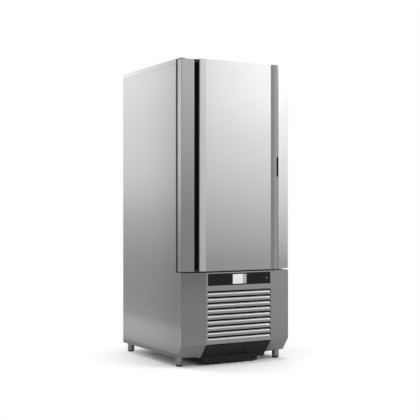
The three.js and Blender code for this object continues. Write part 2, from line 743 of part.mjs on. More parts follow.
// ---------------------------------------------------------------- feet
const legX = halfWidth - LEG_SIDE_INSET;
const legRows = { front: cornerY + LEG_FRONT_INSET, back: backY - LEG_BACK_INSET };
for (const [row, y] of Object.entries(legRows)) {
  for (const [side, x] of Object.entries({ left: -legX, right: legX })) {
    const bore = STEM_R + PIN_CLEARANCE;
    const tubeLow = FOOT_PAD + SEAT;
    const tubeProfile = [
      [bore, tubeLow],
      [LEG_R - FOOT_CHAMFER, tubeLow],
      [LEG_R, tubeLow + FOOT_CHAMFER],
      [LEG_R, BASE_Z - SEAT],
      [bore, BASE_Z - SEAT],
      [bore, tubeLow],
    ];
    add(`leg_${row}_${side}`, turned(tubeProfile, x, y, ROUND), steel);
    const footProfile = [
      [0, 0],
      [FOOT_R, 0],
      [FOOT_R, FOOT_PAD - FOOT_CHAMFER],
      [FOOT_R - FOOT_CHAMFER, FOOT_PAD],
      [STEM_R, FOOT_PAD],
      [STEM_R, FOOT_PAD + STEM_LENGTH],
      [0, FOOT_PAD + STEM_LENGTH],
    ];
    add(`foot_${row}_${side}`, turned(footProfile, x, y, ROUND), blackPlastic);
  }
}

// ---------------------------------------------------------------- condensing unit
// a block of fins on tubes, with a header down each side
function finnedCoil(x0, x1, y0, y1, z0, z1, tubes) {
  const step = (x1 - x0 - FIN_THICKNESS) / (FIN_COUNT - 1);
  const middle = (y0 + y1) / 2;
  const reach = 2 * COIL_TUBE_R;
  const fins = Array.from({ length: FIN_COUNT }, (_, i) => {
    const x = x0 + i * step;
    return box(x, x + FIN_THICKNESS, y0, y1, z0, z1);
  });
  const rows = Array.from({ length: tubes }, (_, i) => {
    const z = z0 + ((i + 0.5) * (z1 - z0)) / tubes;
    return cylinderX(middle, z, x0 - reach, x1 + reach, COIL_TUBE_R, ROUND_TINY);
  });
  const headerLow = z0 + HEADER_INSET;
  const headerTop = z1 - HEADER_INSET;
  const headers = [x0 - reach, x1 + reach].map(
    (x) => cylinderZ(x, middle, headerLow, headerTop, HEADER_R, ROUND_TINY));
  return join(...fins, ...rows, ...headers);
}

// a rotor about an axis along Y: hub and pitched blades
function fanRotor(x, z, y0, y1, radius) {
  const depth = y1 - y0;
  const middle = (y0 + y1) / 2;
  const hub = cylinderY(0, 0, -depth / 2, depth / 2, FAN_HUB_R);
  const blades = Array.from({ length: FAN_BLADES }, (_, i) => {
    const reach = radius - FAN_HUB_R / 2;
    const blade = new THREE.BoxGeometry(reach, BLADE_THICKNESS, depth * BLADE_CHORD);
    blade.rotateX(-BLADE_PITCH);
    blade.translate(FAN_HUB_R / 2 + reach / 2, 0, 0);
    blade.rotateY((i * 2 * Math.PI) / FAN_BLADES);
    return blade;
  });
  const tips = cylinderY(0, 0, -depth / 2, depth / 2, radius, ROUND_FINE);
  const rotor = common(join(hub, ...blades), tips);
  rotor.translate(x, middle, z);
  return rotor;
}

const condenserBack = CONDENSER_FRONT + CONDENSER_DEPTH;
const condenserHalf = CONDENSER_WIDTH / 2;
const condenserTop = seatOnFloor + CONDENSER_HEIGHT;
add("condenser_coil", finnedCoil(-condenserHalf, condenserHalf, CONDENSER_FRONT, condenserBack,
  seatOnFloor, condenserTop, CONDENSER_TUBES), aluminium);

const condenserFanZ = (seatOnFloor + condenserTop) / 2;
const shroudFront = condenserBack + SEAT;
const shroudBack = shroudFront + SHROUD_DEPTH;
const shroudBlock = box(-condenserHalf, condenserHalf, shroudFront, shroudBack, seatOnFloor, condenserTop);
const shroudHollow = box(-condenserHalf + SHEET, condenserHalf - SHEET, shroudFront - SHEET,
  shroudBack - SHEET, seatOnFloor + SHEET, condenserTop - SHEET);
const shroudHole = cylinderY(0, condenserFanZ, shroudFront, shroudBack + SHEET, CONDENSER_FAN_R + FAN_TIP_GAP,
  ROUND_FINE);
const motorFront = shroudBack + MOTOR_STANDOFF;
const motorArm = box(-condenserHalf + SHEET, condenserHalf - SHEET, shroudBack - SHEET, shroudBack + SHEET,
  condenserFanZ - SPIDER_ARM, condenserFanZ + SPIDER_ARM);
const armHole = cylinderY(0, condenserFanZ, shroudFront, shroudBack + 2 * SHEET, MOTOR_NECK_R + SHEET,
  ROUND_SMALL);
add("condenser_shroud", cut(join(cut(shroudBlock, shroudHollow, shroudHole), motorArm), armHole), paint);
const fanBack = shroudBack - 3 * SHEET;
const fanFront = fanBack - CONDENSER_FAN_DEPTH;
add("condenser_fan", fanRotor(0, condenserFanZ, fanFront, fanBack, CONDENSER_FAN_R), aluminium);
const condenserMotor = join(
  cylinderY(0, condenserFanZ, shroudBack + SHEET + SEAT, motorFront + MOTOR_LENGTH, MOTOR_R),
  cylinderY(0, condenserFanZ, fanBack + SEAT, motorFront, MOTOR_NECK_R, ROUND_TINY),
);
add("condenser_fan_motor", condenserMotor, paint);

const compressorLow = seatOnFloor + COMPRESSOR_FOOT;
const shellTop = compressorLow + COMPRESSOR_HEIGHT;
const compressorProfile = [
  [0, compressorLow],
  [COMPRESSOR_R - COMPRESSOR_DOME / 2, compressorLow],
  [COMPRESSOR_R, compressorLow + COMPRESSOR_DOME / 2],
  [COMPRESSOR_R, shellTop - 2 * COMPRESSOR_DOME],
  [COMPRESSOR_R * SHOULDER, shellTop - COMPRESSOR_DOME],
  [COMPRESSOR_R * CROWN, shellTop - COMPRESSOR_DOME / 4],
  [0, shellTop],
];
const compressorX = halfWidth - COMPRESSOR_SIDE_INSET;
const compressorShell = turned(compressorProfile, compressorX, COMPRESSOR_Y, ROUND);
const compressorPlate = box(compressorX - COMPRESSOR_PLATE_HALF, compressorX + COMPRESSOR_PLATE_HALF,
  COMPRESSOR_Y - COMPRESSOR_PLATE_HALF, COMPRESSOR_Y + COMPRESSOR_PLATE_HALF,
  compressorLow, compressorLow + COMPRESSOR_PLATE);
const mountReach = COMPRESSOR_PLATE_HALF - COMPRESSOR_FOOT;
const mounts = [-1, 1].flatMap((i) => [-1, 1].map((j) => cylinderZ(compressorX + i * mountReach,
  COMPRESSOR_Y + j * mountReach, seatOnFloor, compressorLow + COMPRESSOR_PLATE, MOUNT_R, ROUND_TINY)));
const stubTop = shellTop + STUB_RISE;
const suctionPort = [compressorX + SUCTION_STUB[0], COMPRESSOR_Y + SUCTION_STUB[1]];
const dischargePort = [compressorX + DISCHARGE_STUB[0], COMPRESSOR_Y + DISCHARGE_STUB[1]];
const stubLow = compressorLow + COMPRESSOR_HEIGHT / 2;
const stubs = [
  cylinderZ(...suctionPort, stubLow, stubTop, SUCTION_R + STUB_WALL, ROUND_SMALL),
  cylinderZ(...dischargePort, stubLow, stubTop, PIPE_R + STUB_WALL, ROUND_SMALL),
];
add("compressor", join(compressorShell, compressorPlate, ...mounts, ...stubs), paint);

const receiverTop = seatOnFloor + RECEIVER_HEIGHT;
const receiverProfile = [
  [0, seatOnFloor],
  [RECEIVER_END_R, seatOnFloor],
  [RECEIVER_R, seatOnFloor + RECEIVER_DOME],
  [RECEIVER_R, receiverTop - RECEIVER_DOME],
  [RECEIVER_END_R, receiverTop],
  [0, receiverTop],
];
add("liquid_receiver", turned(receiverProfile, RECEIVER_X, RECEIVER_Y, ROUND), paint);

const boxLeft = -insideX;
const caseBody = box(boxLeft, boxLeft + BOX_WIDTH - BOX_LID, BOX_FRONT, BOX_FRONT + BOX_DEPTH,
  BOX_Z, BOX_Z + BOX_HEIGHT);
const caseLid = box(boxLeft + BOX_WIDTH - BOX_LID - SHEET, boxLeft + BOX_WIDTH, BOX_FRONT - SHEET,
  BOX_FRONT + BOX_DEPTH + SHEET, BOX_Z - SHEET, BOX_Z + BOX_HEIGHT + SHEET);
add("electrical_box", join(caseBody, caseLid), greyPlastic);

const glandTop = floorTop + GLAND_R;
const glandProfile = [
  [0, BASE_Z - GLAND_DROP],
  [GLAND_R - GLAND_CHAMFER, BASE_Z - GLAND_DROP],
  [GLAND_R, BASE_Z - GLAND_DROP + GLAND_CHAMFER],
  [GLAND_R, glandTop],
  [0, glandTop],
];
add("cable_gland", turned(glandProfile, glandX, glandY, ROUND_SMALL), blackPlastic);

// ---------------------------------------------------------------- chamber
const coilLow = chamberFloor + COIL_END_GAP;
add("evaporator_coil", finnedCoil(-coilHalf, coilHalf, coilBack - COIL_DEPTH, coilBack,
  coilLow, chamberTop - COIL_END_GAP, EVAPORATOR_TUBES), aluminium);

const fanPanelLow = chamberFloor + FAN_PANEL_LOW;
const fanPanelTop = chamberTop - FAN_PANEL_HIGH;
const fanMiddle = (fanPanelLow + fanPanelTop) / 2;
const fanHeights = { upper: fanMiddle + FAN_SPACING / 2, lower: fanMiddle - FAN_SPACING / 2 };
const fanRingR = FAN_R + FAN_TIP_GAP;
const fanPanelInner = FAN_PANEL_Y + SHEET;
const fanPanelEdge = FAN_PANEL_Y + FAN_PANEL_RETURN;

// ring slots between bars, crossed by spokes, pressed in the panel before each fan
function guardSlots(z) {
  const pitch = (fanRingR - FAN_HUB_R) / GUARD_RINGS;
  const rings = Array.from({ length: GUARD_RINGS }, (_, i) => {
    const inner = FAN_HUB_R + i * pitch;
    const outer = inner + pitch - GUARD_BAR;
    const disc = cylinderY(0, z, FAN_PANEL_Y - SHEET, fanPanelInner + SHEET, outer, GUARD_SIDES);
    return cut(disc, cylinderY(0, z, FAN_PANEL_Y - 2 * SHEET, fanPanelInner + 2 * SHEET, inner, GUARD_SIDES));
  });
  const spokes = Array.from({ length: GUARD_SPOKES / 2 }, (_, i) => {
    const spoke = new THREE.BoxGeometry(3 * fanRingR, 6 * SHEET, GUARD_BAR);
    spoke.rotateY((i * 2 * Math.PI) / GUARD_SPOKES);
    spoke.translate(0, FAN_PANEL_Y, z);
    return spoke;
  });
  return cut(join(...rings), ...spokes);
}

const fanPivotX = -FAN_PANEL_HALF + HINGE_KNUCKLE_R;
const fanPivotY = FAN_PANEL_Y + HINGE_KNUCKLE_R;
const fanBlock = box(-FAN_PANEL_HALF, FAN_PANEL_HALF, FAN_PANEL_Y, fanPanelEdge, fanPanelLow, fanPanelTop);
const fanHollow = box(-FAN_PANEL_HALF - SHEET, FAN_PANEL_HALF - SHEET, fanPanelInner, fanPanelEdge + SHEET,
  fanPanelLow + SHEET, fanPanelTop - SHEET);
const knuckle = cylinderZ(fanPivotX, fanPivotY, fanPanelLow + KNUCKLE_SINK, fanPanelTop - KNUCKLE_SINK,
  HINGE_KNUCKLE_R - KNUCKLE_SINK, ROUND_TINY);
const fanPins = cylinderZ(fanPivotX, fanPivotY, fanPanelLow - FAN_PIN_REACH, fanPanelTop + FAN_PIN_REACH,
  HINGE_KNUCKLE_R / 2, ROUND_TINY);
const fanSheets = join(cut(fanBlock, fanHollow), knuckle, fanPins);
add("fan_panel", cut(fanSheets, ...Object.values(fanHeights).map(guardSlots)), innerSteel);

// side cowls close the coil in beside the fan panel and carry its pins on two ears
const cowlInner = FAN_PANEL_HALF + 2 * SEAM;
const cowlSheet = foldedSheet([
  [-linerX + SEAT, chamberBack - COIL_DEPTH / 2],
  [-linerX + SEAT, FAN_PANEL_Y],
  [-cowlInner, FAN_PANEL_Y],
  [-cowlInner, fanPanelEdge],
]);
const cowl = prismZ(cowlSheet, chamberFloor + SEAT, chamberTop - SEAT);
const ears = [
  [fanPanelLow - EAR_REACH, fanPanelLow - SEAM],
  [fanPanelTop + SEAM, fanPanelTop + EAR_REACH],
].map(([low, high]) => box(-cowlInner - SHEET, fanPivotX + HINGE_KNUCKLE_R, FAN_PANEL_Y,
  fanPivotY + HINGE_KNUCKLE_R, low, high));
const earBore = cylinderZ(fanPivotX, fanPivotY, fanPanelLow - 2 * EAR_REACH, fanPanelTop + 2 * EAR_REACH,
  HINGE_KNUCKLE_R / 2 + PIN_CLEARANCE, ROUND_TINY);
add("cowl_left", cut(join(cowl, ...ears), earBore), innerSteel);
add("cowl_right", mirrored(cowl), innerSteel);

const rotorFront = fanPanelInner + FAN_SETBACK;
const rotorBack = rotorFront + FAN_DEPTH;
const spiderFront = rotorBack + SPIDER_GAP;
for (const [row, z] of Object.entries(fanHeights)) {
  add(`evaporator_fan_${row}`, fanRotor(0, z, rotorFront, rotorBack, FAN_R), blackPlastic);
  const body = cylinderY(0, z, spiderFront, spiderFront + FAN_MOTOR_LENGTH, FAN_MOTOR_R);
  const neck = cylinderY(0, z, rotorBack + SEAT, spiderFront + SHEET, MOTOR_NECK_R, ROUND_TINY);
  const arms = Array.from({ length: SPIDER_ARMS }, (_, i) => {
    const armBack = spiderFront + SPIDER_PLATE;
    const arm = box(0, fanRingR + 2 * SPIDER_ARM, spiderFront, armBack, -SPIDER_ARM / 2, SPIDER_ARM / 2);
    const leg = box(fanRingR + SPIDER_ARM, fanRingR + 2 * SPIDER_ARM, fanPanelInner + SEAT, armBack,
      -SPIDER_ARM / 2, SPIDER_ARM / 2);
    const whole = join(arm, leg);
    whole.rotateY(Math.PI / 2 + (i * 2 * Math.PI) / SPIDER_ARMS);
    whole.translate(0, 0, z);
    return whole;
  });
  add(`evaporator_fan_motor_${row}`, join(body, neck, ...arms), paint);
}

// tray rack: two posts and the tray runners
const rackWall = linerX - SEAT;
const rackBack = RACK_FRONT + RACK_DEPTH;
const rackLow = chamberFloor + SEAT;
const rackRoom = chamberTop - RACK_HEADROOM - chamberFloor - RACK_FIRST - RACK_PITCH / 2;
const rackLevels = Math.floor(rackRoom / RACK_PITCH) + 1;
const rackTop = chamberFloor + RACK_FIRST + (rackLevels - 1) * RACK_PITCH + RACK_PITCH / 2;
const runnerWall = rackWall - RACK_STANDOFF;
const rackPosts = [RACK_FRONT + POST_INSET, rackBack - POST_INSET - RACK_POST].map((y) => box(
  -rackWall, -runnerWall - SHEET / 2, y, y + RACK_POST, rackLow, rackTop));
const rackRunners = Array.from({ length: rackLevels }, (_, i) => {
  const z = chamberFloor + RACK_FIRST + i * RACK_PITCH;
  const profile = [
    [-runnerWall - SHEET, z + RUNNER_LIP],
    [-runnerWall - SHEET, z],
    [-runnerWall + RUNNER_WIDTH, z],
    [-runnerWall + RUNNER_WIDTH, z + SHEET],
    [-runnerWall, z + SHEET],
    [-runnerWall, z + RUNNER_LIP],
  ];
  return prismY(profile, RACK_FRONT, rackBack);
});
const rackTie = box(-rackWall, SHEET - rackWall, RACK_FRONT + RACK_TIE_INSET, rackBack - RACK_TIE_INSET,
  rackLow + RACK_TIE_RISE, rackLow + RACK_TIE_RISE + RACK_POST);
const rack = join(...rackPosts, rackTie, ...rackRunners);
add("tray_rack_left", rack, innerSteel);
add("tray_rack_right", mirrored(rack), innerSteel);

const drainTop = chamberFloor + SHEET;
const drainLow = BASE_Z - SHEET;
const drainProfile = [
  [DRAIN_R - DRAIN_WALL, drainLow],
  [DRAIN_R, drainLow],
  [DRAIN_R, chamberFloor + SEAT],
  [2 * DRAIN_R, chamberFloor + SEAT],
  [2 * DRAIN_R, drainTop],
  [DRAIN_R - DRAIN_WALL, drainTop],
  [DRAIN_R - DRAIN_WALL, drainLow],
];
add("drain_pipe", turned(drainProfile, DRAIN_X, DRAIN_Y, ROUND_SMALL), greyPlastic);

// ---------------------------------------------------------------- pipes
const condenserHeaderX = condenserHalf + 2 * COIL_TUBE_R;
const condenserMiddle = CONDENSER_FRONT + CONDENSER_DEPTH / 2;
const dischargeZ = stubTop + DISCHARGE_RISE;
add("discharge_pipe", pipe([
  [...dischargePort, stubTop + SEAT],
  [...dischargePort, dischargeZ],
  [condenserHeaderX, condenserMiddle, dischargeZ],
  [condenserHeaderX, condenserMiddle, condenserTop - HEADER_INSET + SEAT],
], PIPE_R), copper);

const outletZ = receiverTop + OUTLET_RISE;
const outletX = RECEIVER_X - RECEIVER_PORT;
add("condensate_pipe", pipe([
  [-condenserHeaderX, condenserMiddle, seatOnFloor + HEADER_INSET - SEAT],
  [-condenserHeaderX, condenserMiddle, PIPE_LOW],
  [-condenserHeaderX, condenserMiddle + PIPE_BEND, PIPE_LOW],
  [-condenserHeaderX, RECEIVER_Y, PIPE_LOW],
  [-condenserHeaderX, RECEIVER_Y, outletZ],
  [outletX, RECEIVER_Y, outletZ],
  [outletX, RECEIVER_Y, receiverTop + SEAT],
], PIPE_R), copper);

const linesZ = LEDGE_Z - LINES_DROP;
const headerLow = coilLow + HEADER_INSET - SEAT;
const supplyX = RECEIVER_X + RECEIVER_PORT;
const drierLow = receiverTop + DRIER_RISE;
const drierProfile = [
  [0, drierLow],
  [DRIER_R * DRIER_NECK, drierLow],
  [DRIER_R, drierLow + DRIER_R / 2],
  [DRIER_R, drierLow + DRIER_LENGTH - DRIER_R / 2],
  [DRIER_R * DRIER_NECK, drierLow + DRIER_LENGTH],
  [0, drierLow + DRIER_LENGTH],
];
const liquidLine = pipe([
  [supplyX, RECEIVER_Y, receiverTop + SEAT],
  [supplyX, RECEIVER_Y, linesZ],
  [-headerX, headerY, linesZ],
  [-headerX, headerY, headerLow],
], PIPE_R);
add("liquid_pipe", join(liquidLine, turned(drierProfile, supplyX, RECEIVER_Y, ROUND_SMALL)), copper);

add("suction_pipe", pipe([
  [headerX, headerY, headerLow],
  [headerX, headerY, linesZ],
  [...suctionPort, linesZ],
  [...suctionPort, stubTop + SEAT],
], SUCTION_R), copper);

// ---------------------------------------------------------------- door
const foldY = flatY + STRIP_BEND;
const grooveBack = frontY(grooveLeft) + GROOVE_DEPTH;
const linerFront = doorBack - LINER_PLATE - SEAT;
const lipEdge = [crease + LIP_WIDTH, flatY - LIP_REACH];
const lipSlope = LIP_REACH / LIP_WIDTH;
const lipLength = Math.hypot(LIP_WIDTH, LIP_REACH);
const lipBack = [
  lipEdge[0] + (LIP_EDGE * LIP_REACH) / lipLength,
  lipEdge[1] + (LIP_EDGE * LIP_WIDTH) / lipLength,
];
const recessLeft = crease + RECESS_INSET;
const recessRight = recessLeft + RECESS_WIDTH;
const recessY = frontY(recessLeft) + RECESS_DEPTH;
const lipRoot = [recessLeft, lipBack[1] + (lipBack[0] - recessLeft) * lipSlope];

// a skin of the door: the folded sheet, with a cap let into its top and bottom
function doorSkin(points, capEdge, top) {
  const cap = [...inward(points, SHEET / 2), ...capEdge];
  return join(
    prismZ(foldedSheet(points), doorBottom, top),
    prismZ(cap, doorBottom + SEAT, doorBottom + SEAT + SHEET),
    prismZ(cap, top - SEAT - SHEET, top - SEAT),
  );
}

const pinHoles = cylinderZ(pivotX, pivotY, doorBottom - SHEET, doorBottom + HINGE_PIN_LENGTH + SHEET,
  HINGE_PIN_R + PIN_CLEARANCE);
const pinHolesTop = cylinderZ(pivotX, pivotY, stripTop - HINGE_PIN_LENGTH - SHEET, topZ + SHEET,
  HINGE_PIN_R + PIN_CLEARANCE);
const hingeSide = [
  [-doorHalf, linerFront],
  [-doorHalf, frontY(doorHalf)],
  [grooveLeft, frontY(grooveLeft)],
  [grooveLeft, grooveBack],
];
const hingeSideCap = [[grooveLeft - SHEET / 2, linerFront], [SHEET / 2 - doorHalf, linerFront]];
add("door_skin_hinge_side", cut(doorSkin(hingeSide, hingeSideCap, stripTop), pinHoles, pinHolesTop), steel);

const profileFront = frontY(grooveLeft) + SHEET;
const profileBlock = box(grooveLeft + SEAT, grooveRight - SEAT, profileFront, grooveBack,
  doorBottom, stripTop);
const profileHollow = box(grooveLeft + SEAT + PROFILE_WALL, grooveRight - SEAT - PROFILE_WALL,
  profileFront - SHEET, grooveBack - PROFILE_WALL, doorBottom + GROOVE_CAP_BOTTOM, stripTop - GROOVE_CAP_TOP);
add("door_groove_profile", cut(profileBlock, profileHollow), blackPlastic);

const mainFront = [
  [grooveRight, grooveBack],
  [grooveRight, foldY + FOLD_RADIUS],
  [grooveRight + FOLD_RADIUS * FOLD_SHARE, foldY + FOLD_RADIUS * FOLD_SHARE],
  [grooveRight + FOLD_RADIUS, foldY],
  [-crease, flatY],
  [crease, flatY],
  lipEdge,
  lipBack,
  lipRoot,
  [recessLeft, recessY],
];
const mainCap = [
  [recessLeft - SHEET / 2, linerFront],
  [grooveLeft + SEAT, linerFront],
  [grooveLeft + SEAT, grooveBack + SEAT],
  [grooveRight + SHEET / 2, grooveBack + SEAT],
];
const gripHalf = GRIP_LENGTH / 2;
const gripLeft = lipBack[0] - GRIP_WIDTH;
const gripNotch = box(gripLeft, lipBack[0] + SHEET, lipEdge[1] - SHEET, flatY + RECESS_DEPTH / 2,
  doorMiddle - gripHalf, doorMiddle + gripHalf);
add("door_main_skin", cut(doorSkin(mainFront, mainCap, doorTop), gripNotch), steel);

const insertFront = lipEdge[1] + GRIP_SETBACK + (lipEdge[0] - gripLeft - SEAT) * lipSlope;
const insertOutline = [
  [gripLeft + SEAT, insertFront],
  [lipEdge[0] - GRIP_SETBACK, lipEdge[1] + GRIP_SETBACK],
  [lipBack[0] - GRIP_SETBACK, lipBack[1]],
  [gripLeft + SEAT, lipBack[1] + (lipBack[0] - gripLeft - SEAT) * lipSlope - GRIP_SETBACK],
];
const insertHalf = gripHalf - SEAT;
add("grip_insert", prismZ(insertOutline, doorMiddle - insertHalf, doorMiddle + insertHalf), blackPlastic);

const handleSide = [
  [recessLeft + SEAT, recessY],
  [recessRight, recessY],
  [recessRight, frontY(recessRight)],
  [doorHalf, frontY(doorHalf)],
  [doorHalf, linerFront],
];
const handleSideCap = [[doorHalf - SHEET / 2, linerFront], [recessLeft + SEAT + SHEET / 2, linerFront]];
add("door_skin_handle_side", doorSkin(handleSide, handleSideCap, doorTop), steel);

const inset = SHEET + SEAT;
const foamInset = inset + SEAT;
const capDepth = SEAT + SHEET + SEAT;
const coreOutline = [
  [-doorHalf + inset, linerFront],
  [-doorHalf + inset, frontY(doorHalf) + foamInset],
  [grooveLeft - inset, frontY(grooveLeft) + foamInset],
  [grooveLeft - inset, grooveBack + SEAT],
  [grooveRight + inset, grooveBack + SEAT],
  [grooveRight + inset, foldY + FOLD_RADIUS + foamInset],
  [grooveRight + FOLD_RADIUS + inset, foldY + foamInset],
  [-crease, flatY + foamInset],
  [crease, flatY + foamInset],
  [recessLeft - inset, lipRoot[1]],
  [recessLeft - inset, recessY + inset],
  [recessRight + inset, recessY + inset],
  [recessRight + inset, frontY(recessRight) + foamInset],
  [doorHalf - inset, frontY(doorHalf) + foamInset],
  [doorHalf - inset, linerFront],
];
const coreLow = doorBottom + capDepth;
const coreTop = stripTop - capDepth;
add("door_foam_core", cut(prismZ(coreOutline, coreLow, coreTop), pinHoles, pinHolesTop), foam);

const bossHalf = doorHalf - BOSS_INSET;
const innerPlate = box(-doorHalf, doorHalf, doorBack - LINER_PLATE, doorBack, doorBottom, stripTop);
const innerBoss = box(-bossHalf, bossHalf, doorBack - LINER_PLATE / 2, doorBack + LINER_BOSS,
  coreLow + BOSS_INSET, coreTop - BOSS_INSET);
add("door_liner", join(innerPlate, innerBoss), innerSteel);

const gasketHalf = doorHalf - GASKET_INSET;
const gasketLow = doorBottom + GASKET_INSET;
const gasketTop = stripTop - GASKET_INSET;
const gasketOuter = box(-gasketHalf, gasketHalf, doorBack + SEAT, frameY - SEAT, gasketLow, gasketTop);
const gasketInner = box(-gasketHalf + GASKET_WIDTH, gasketHalf - GASKET_WIDTH, doorBack, frameY,
  gasketLow + GASKET_WIDTH, gasketTop - GASKET_WIDTH);
add("door_gasket", cut(gasketOuter, gasketInner), rubber);

// ---------------------------------------------------------------- door hinges
const hingeFront = pivotY - HINGE_NOSE;
const hingeBack = frameY - SEAT;
const hingeLeft = pivotX - HINGE_HALF;
const hingeRight = pivotX + HINGE_HALF;
const upperTop = topZ - SEAT;
const upperLow = upperTop - HINGE_PLATE;
const upperPlate = box(hingeLeft, hingeRight, hingeFront, hingeBack, upperLow, upperTop);
const upperFlange = box(hingeLeft, hingeRight, hingeBack - HINGE_FLANGE, hingeBack,
  upperLow - HINGE_HALF, upperTop);
const upperPin = cylinderZ(pivotX, pivotY, stripTop - HINGE_PIN_LENGTH, upperTop, HINGE_PIN_R);
add("upper_hinge", join(upperPlate, upperFlange, upperPin), paint);

const lowerLow = LEDGE_Z + SEAT;
const lowerTop = doorBottom - SHEET;
const lowerPlate = box(hingeLeft, hingeRight, hingeFront, hingeBack, lowerLow, lowerTop);
const lowerFlange = box(hingeLeft, hingeRight, hingeBack - HINGE_FLANGE, hingeBack,
  lowerLow, lowerTop + HINGE_HALF);
const lowerPin = cylinderZ(pivotX, pivotY, lowerLow, doorBottom + HINGE_PIN_LENGTH, HINGE_PIN_R);
add("lower_hinge", join(lowerPlate, lowerFlange, lowerPin), paint);

export default chiller;
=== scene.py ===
"""Upright blast chiller: looks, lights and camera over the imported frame. Lengths in the helpers are millimetres."""
import math

import bmesh
import bpy
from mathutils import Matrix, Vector
from mathutils.geometry import tessellate_polygon


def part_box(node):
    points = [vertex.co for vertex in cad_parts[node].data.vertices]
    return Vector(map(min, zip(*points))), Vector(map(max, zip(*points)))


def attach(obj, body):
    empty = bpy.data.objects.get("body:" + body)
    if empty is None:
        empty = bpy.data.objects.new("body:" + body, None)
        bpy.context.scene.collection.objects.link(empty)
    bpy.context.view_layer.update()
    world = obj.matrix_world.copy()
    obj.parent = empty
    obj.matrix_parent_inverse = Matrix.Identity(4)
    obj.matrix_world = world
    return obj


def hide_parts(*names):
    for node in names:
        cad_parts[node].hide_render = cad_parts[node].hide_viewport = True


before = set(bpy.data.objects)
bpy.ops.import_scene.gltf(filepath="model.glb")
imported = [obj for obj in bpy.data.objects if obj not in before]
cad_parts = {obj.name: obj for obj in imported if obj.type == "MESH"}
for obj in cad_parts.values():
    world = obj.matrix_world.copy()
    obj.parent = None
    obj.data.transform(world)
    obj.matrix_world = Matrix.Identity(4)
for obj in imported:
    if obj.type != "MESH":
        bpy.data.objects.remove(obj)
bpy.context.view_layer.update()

MM = 0.001

# ------------------------------------------------------------------ sizes shared with the solids
HALF, SHEET = 407.0, 1.5  # half the cabinet's width, a sheet's thickness
BACK, FRAME_Y, CORNER, FLAT = 470.0, -349.0, -422.0, -454.0  # y of the back, the door frame, the front's sides and flat
CREASE = 246.0  # x where the front folds back
TOP, LEDGE, BEND, BASE = 1970.0, 603.0, 143.0, 59.0
BEVEL_RUN = 65.0  # how far the front slopes back between BEND and BASE
FRAME_X, FRAME_LOW, FRAME_TOP = 400.8, 603.4, 1968.0
LINER_X, CHAMBER_LOW, CHAMBER_TOP = 343.4, 665.1, 1906.4
DOOR_LOW, DOOR_TOP, STRIP_TOP = 613.0, 1967.0, 1962.5
DOOR_HALF, LINER_FRONT = 406.0, -372.8
GROOVE_L, GROOVE_R, GROOVE_Y = -322.0, -290.0, -406.89
PIVOT = (-387.0, -391.0)


def front_y(x):
    """The front is flat in the middle and folds back beyond the creases."""
    return FLAT + max(0.0, abs(x) - CREASE) * (CORNER - FLAT) / (HALF - CREASE)


# ------------------------------------------------------------------ painted light and shade: slow changes of tone painted into the brushed sheets
# for each sheet and axis: (place in metres, share of its base tone)
PAINTED_SHADE = {
    "steel_side": {
        "Z": [(0.08, 0.31), (0.19, 0.79), (0.29, 0.55), (0.46, 0.47), (0.96, 0.6), (1.45, 0.58), (1.9, 0.66)],
        "Y": [(-0.32, 0.83), (0.03, 1.05), (0.42, 1.1)],
    },
    "steel_main": {
        "Z": [(0.67, 0.63), (0.92, 0.87), (1.22, 1.01), (1.55, 0.89), (1.91, 0.74)],
        "X": [(-0.22, 0.97), (0.2, 1.04)],
    },
    "steel_lip": {
        "Z": [(0.66, 0.79), (1.25, 0.81), (1.93, 0.77)],
        "X": [(0.26, 0.83), (0.28, 1.25)],
    },
    "steel_side_right": {"Z": [(0.08, 0.84), (0.5, 0.86), (1.3, 1.04), (1.9, 1)]},
    "steel_edge_shaded": {"Z": [(0.65, 0.53), (0.9, 0.62), (1.39, 0.64), (1.75, 0.64), (1.93, 0.54)]},
    "steel_flange": {"Y": [(-0.32, 0.6), (0.1, 0.85), (0.42, 1)]},
    "steel_strip": {"Z": [(0.65, 0.67), (0.95, 0.71), (1.45, 1.02), (1.93, 1.23)]},
    "steel_fold": {"Z": [(0.67, 1.07), (1.15, 1.17), (1.6, 1.01), (1.93, 0.91)]},
    "steel_handle": {"Z": [(0.655, 0.65), (0.9, 1.07), (1.3, 1.38), (1.75, 1.36), (1.94, 1.47)]},
    "steel_facet_left": {"Z": [(0.1, 0.91), (0.19, 0.74), (0.35, 0.74), (0.58, 0.55)]},
    "steel_facet_right": {"Z": [(0.11, 0.6), (0.2, 0.69), (0.57, 0.78)]},
    "steel_louvre": {"X": [(-0.24, 0.96), (0.19, 1.2), (0.24, 1.5)]},
}


# ------------------------------------------------------------------ node helpers for materials
def wire(t, n, inputs):
    """Gives each of a node's inputs a value, or a link from another node's output."""
    for key, value in inputs.items():
        if isinstance(value, bpy.types.NodeSocket):
            t.links.new(value, n.inputs[key])
        else:
            n.inputs[key].default_value = value


def new_node(t, kind, inputs, operation=None):
    """Adds a node and gives its outputs."""
    n = t.nodes.new("ShaderNode" + kind)
    if operation:
        n.operation = operation
    wire(t, n, inputs)
    return n.outputs


def maths(t, operation, *values):
    """The result of a sum on values or other nodes' outputs."""
    return new_node(t, "Math", dict(enumerate(values)), operation)[0]


def position(t):
    return new_node(t, "TexCoord", {})["Object"]


def noise(t, size, detail, scale=(1, 1, 1)):
    at = new_node(t, "Mapping", {"Scale": scale, "Vector": position(t)})[0]
    return new_node(t, "TexNoise", {"Scale": size, "Detail": detail, "Roughness": 0.55, "Vector": at})["Fac"]


def spread(t, value, low, high):
    """Noise stays mostly between 0.25 and 0.75, and that range becomes low to high."""
    return new_node(t, "MapRange", {"From Min": 0.25, "From Max": 0.75, "To Min": low, "To Max": high,
                                    "Value": value})["Result"]


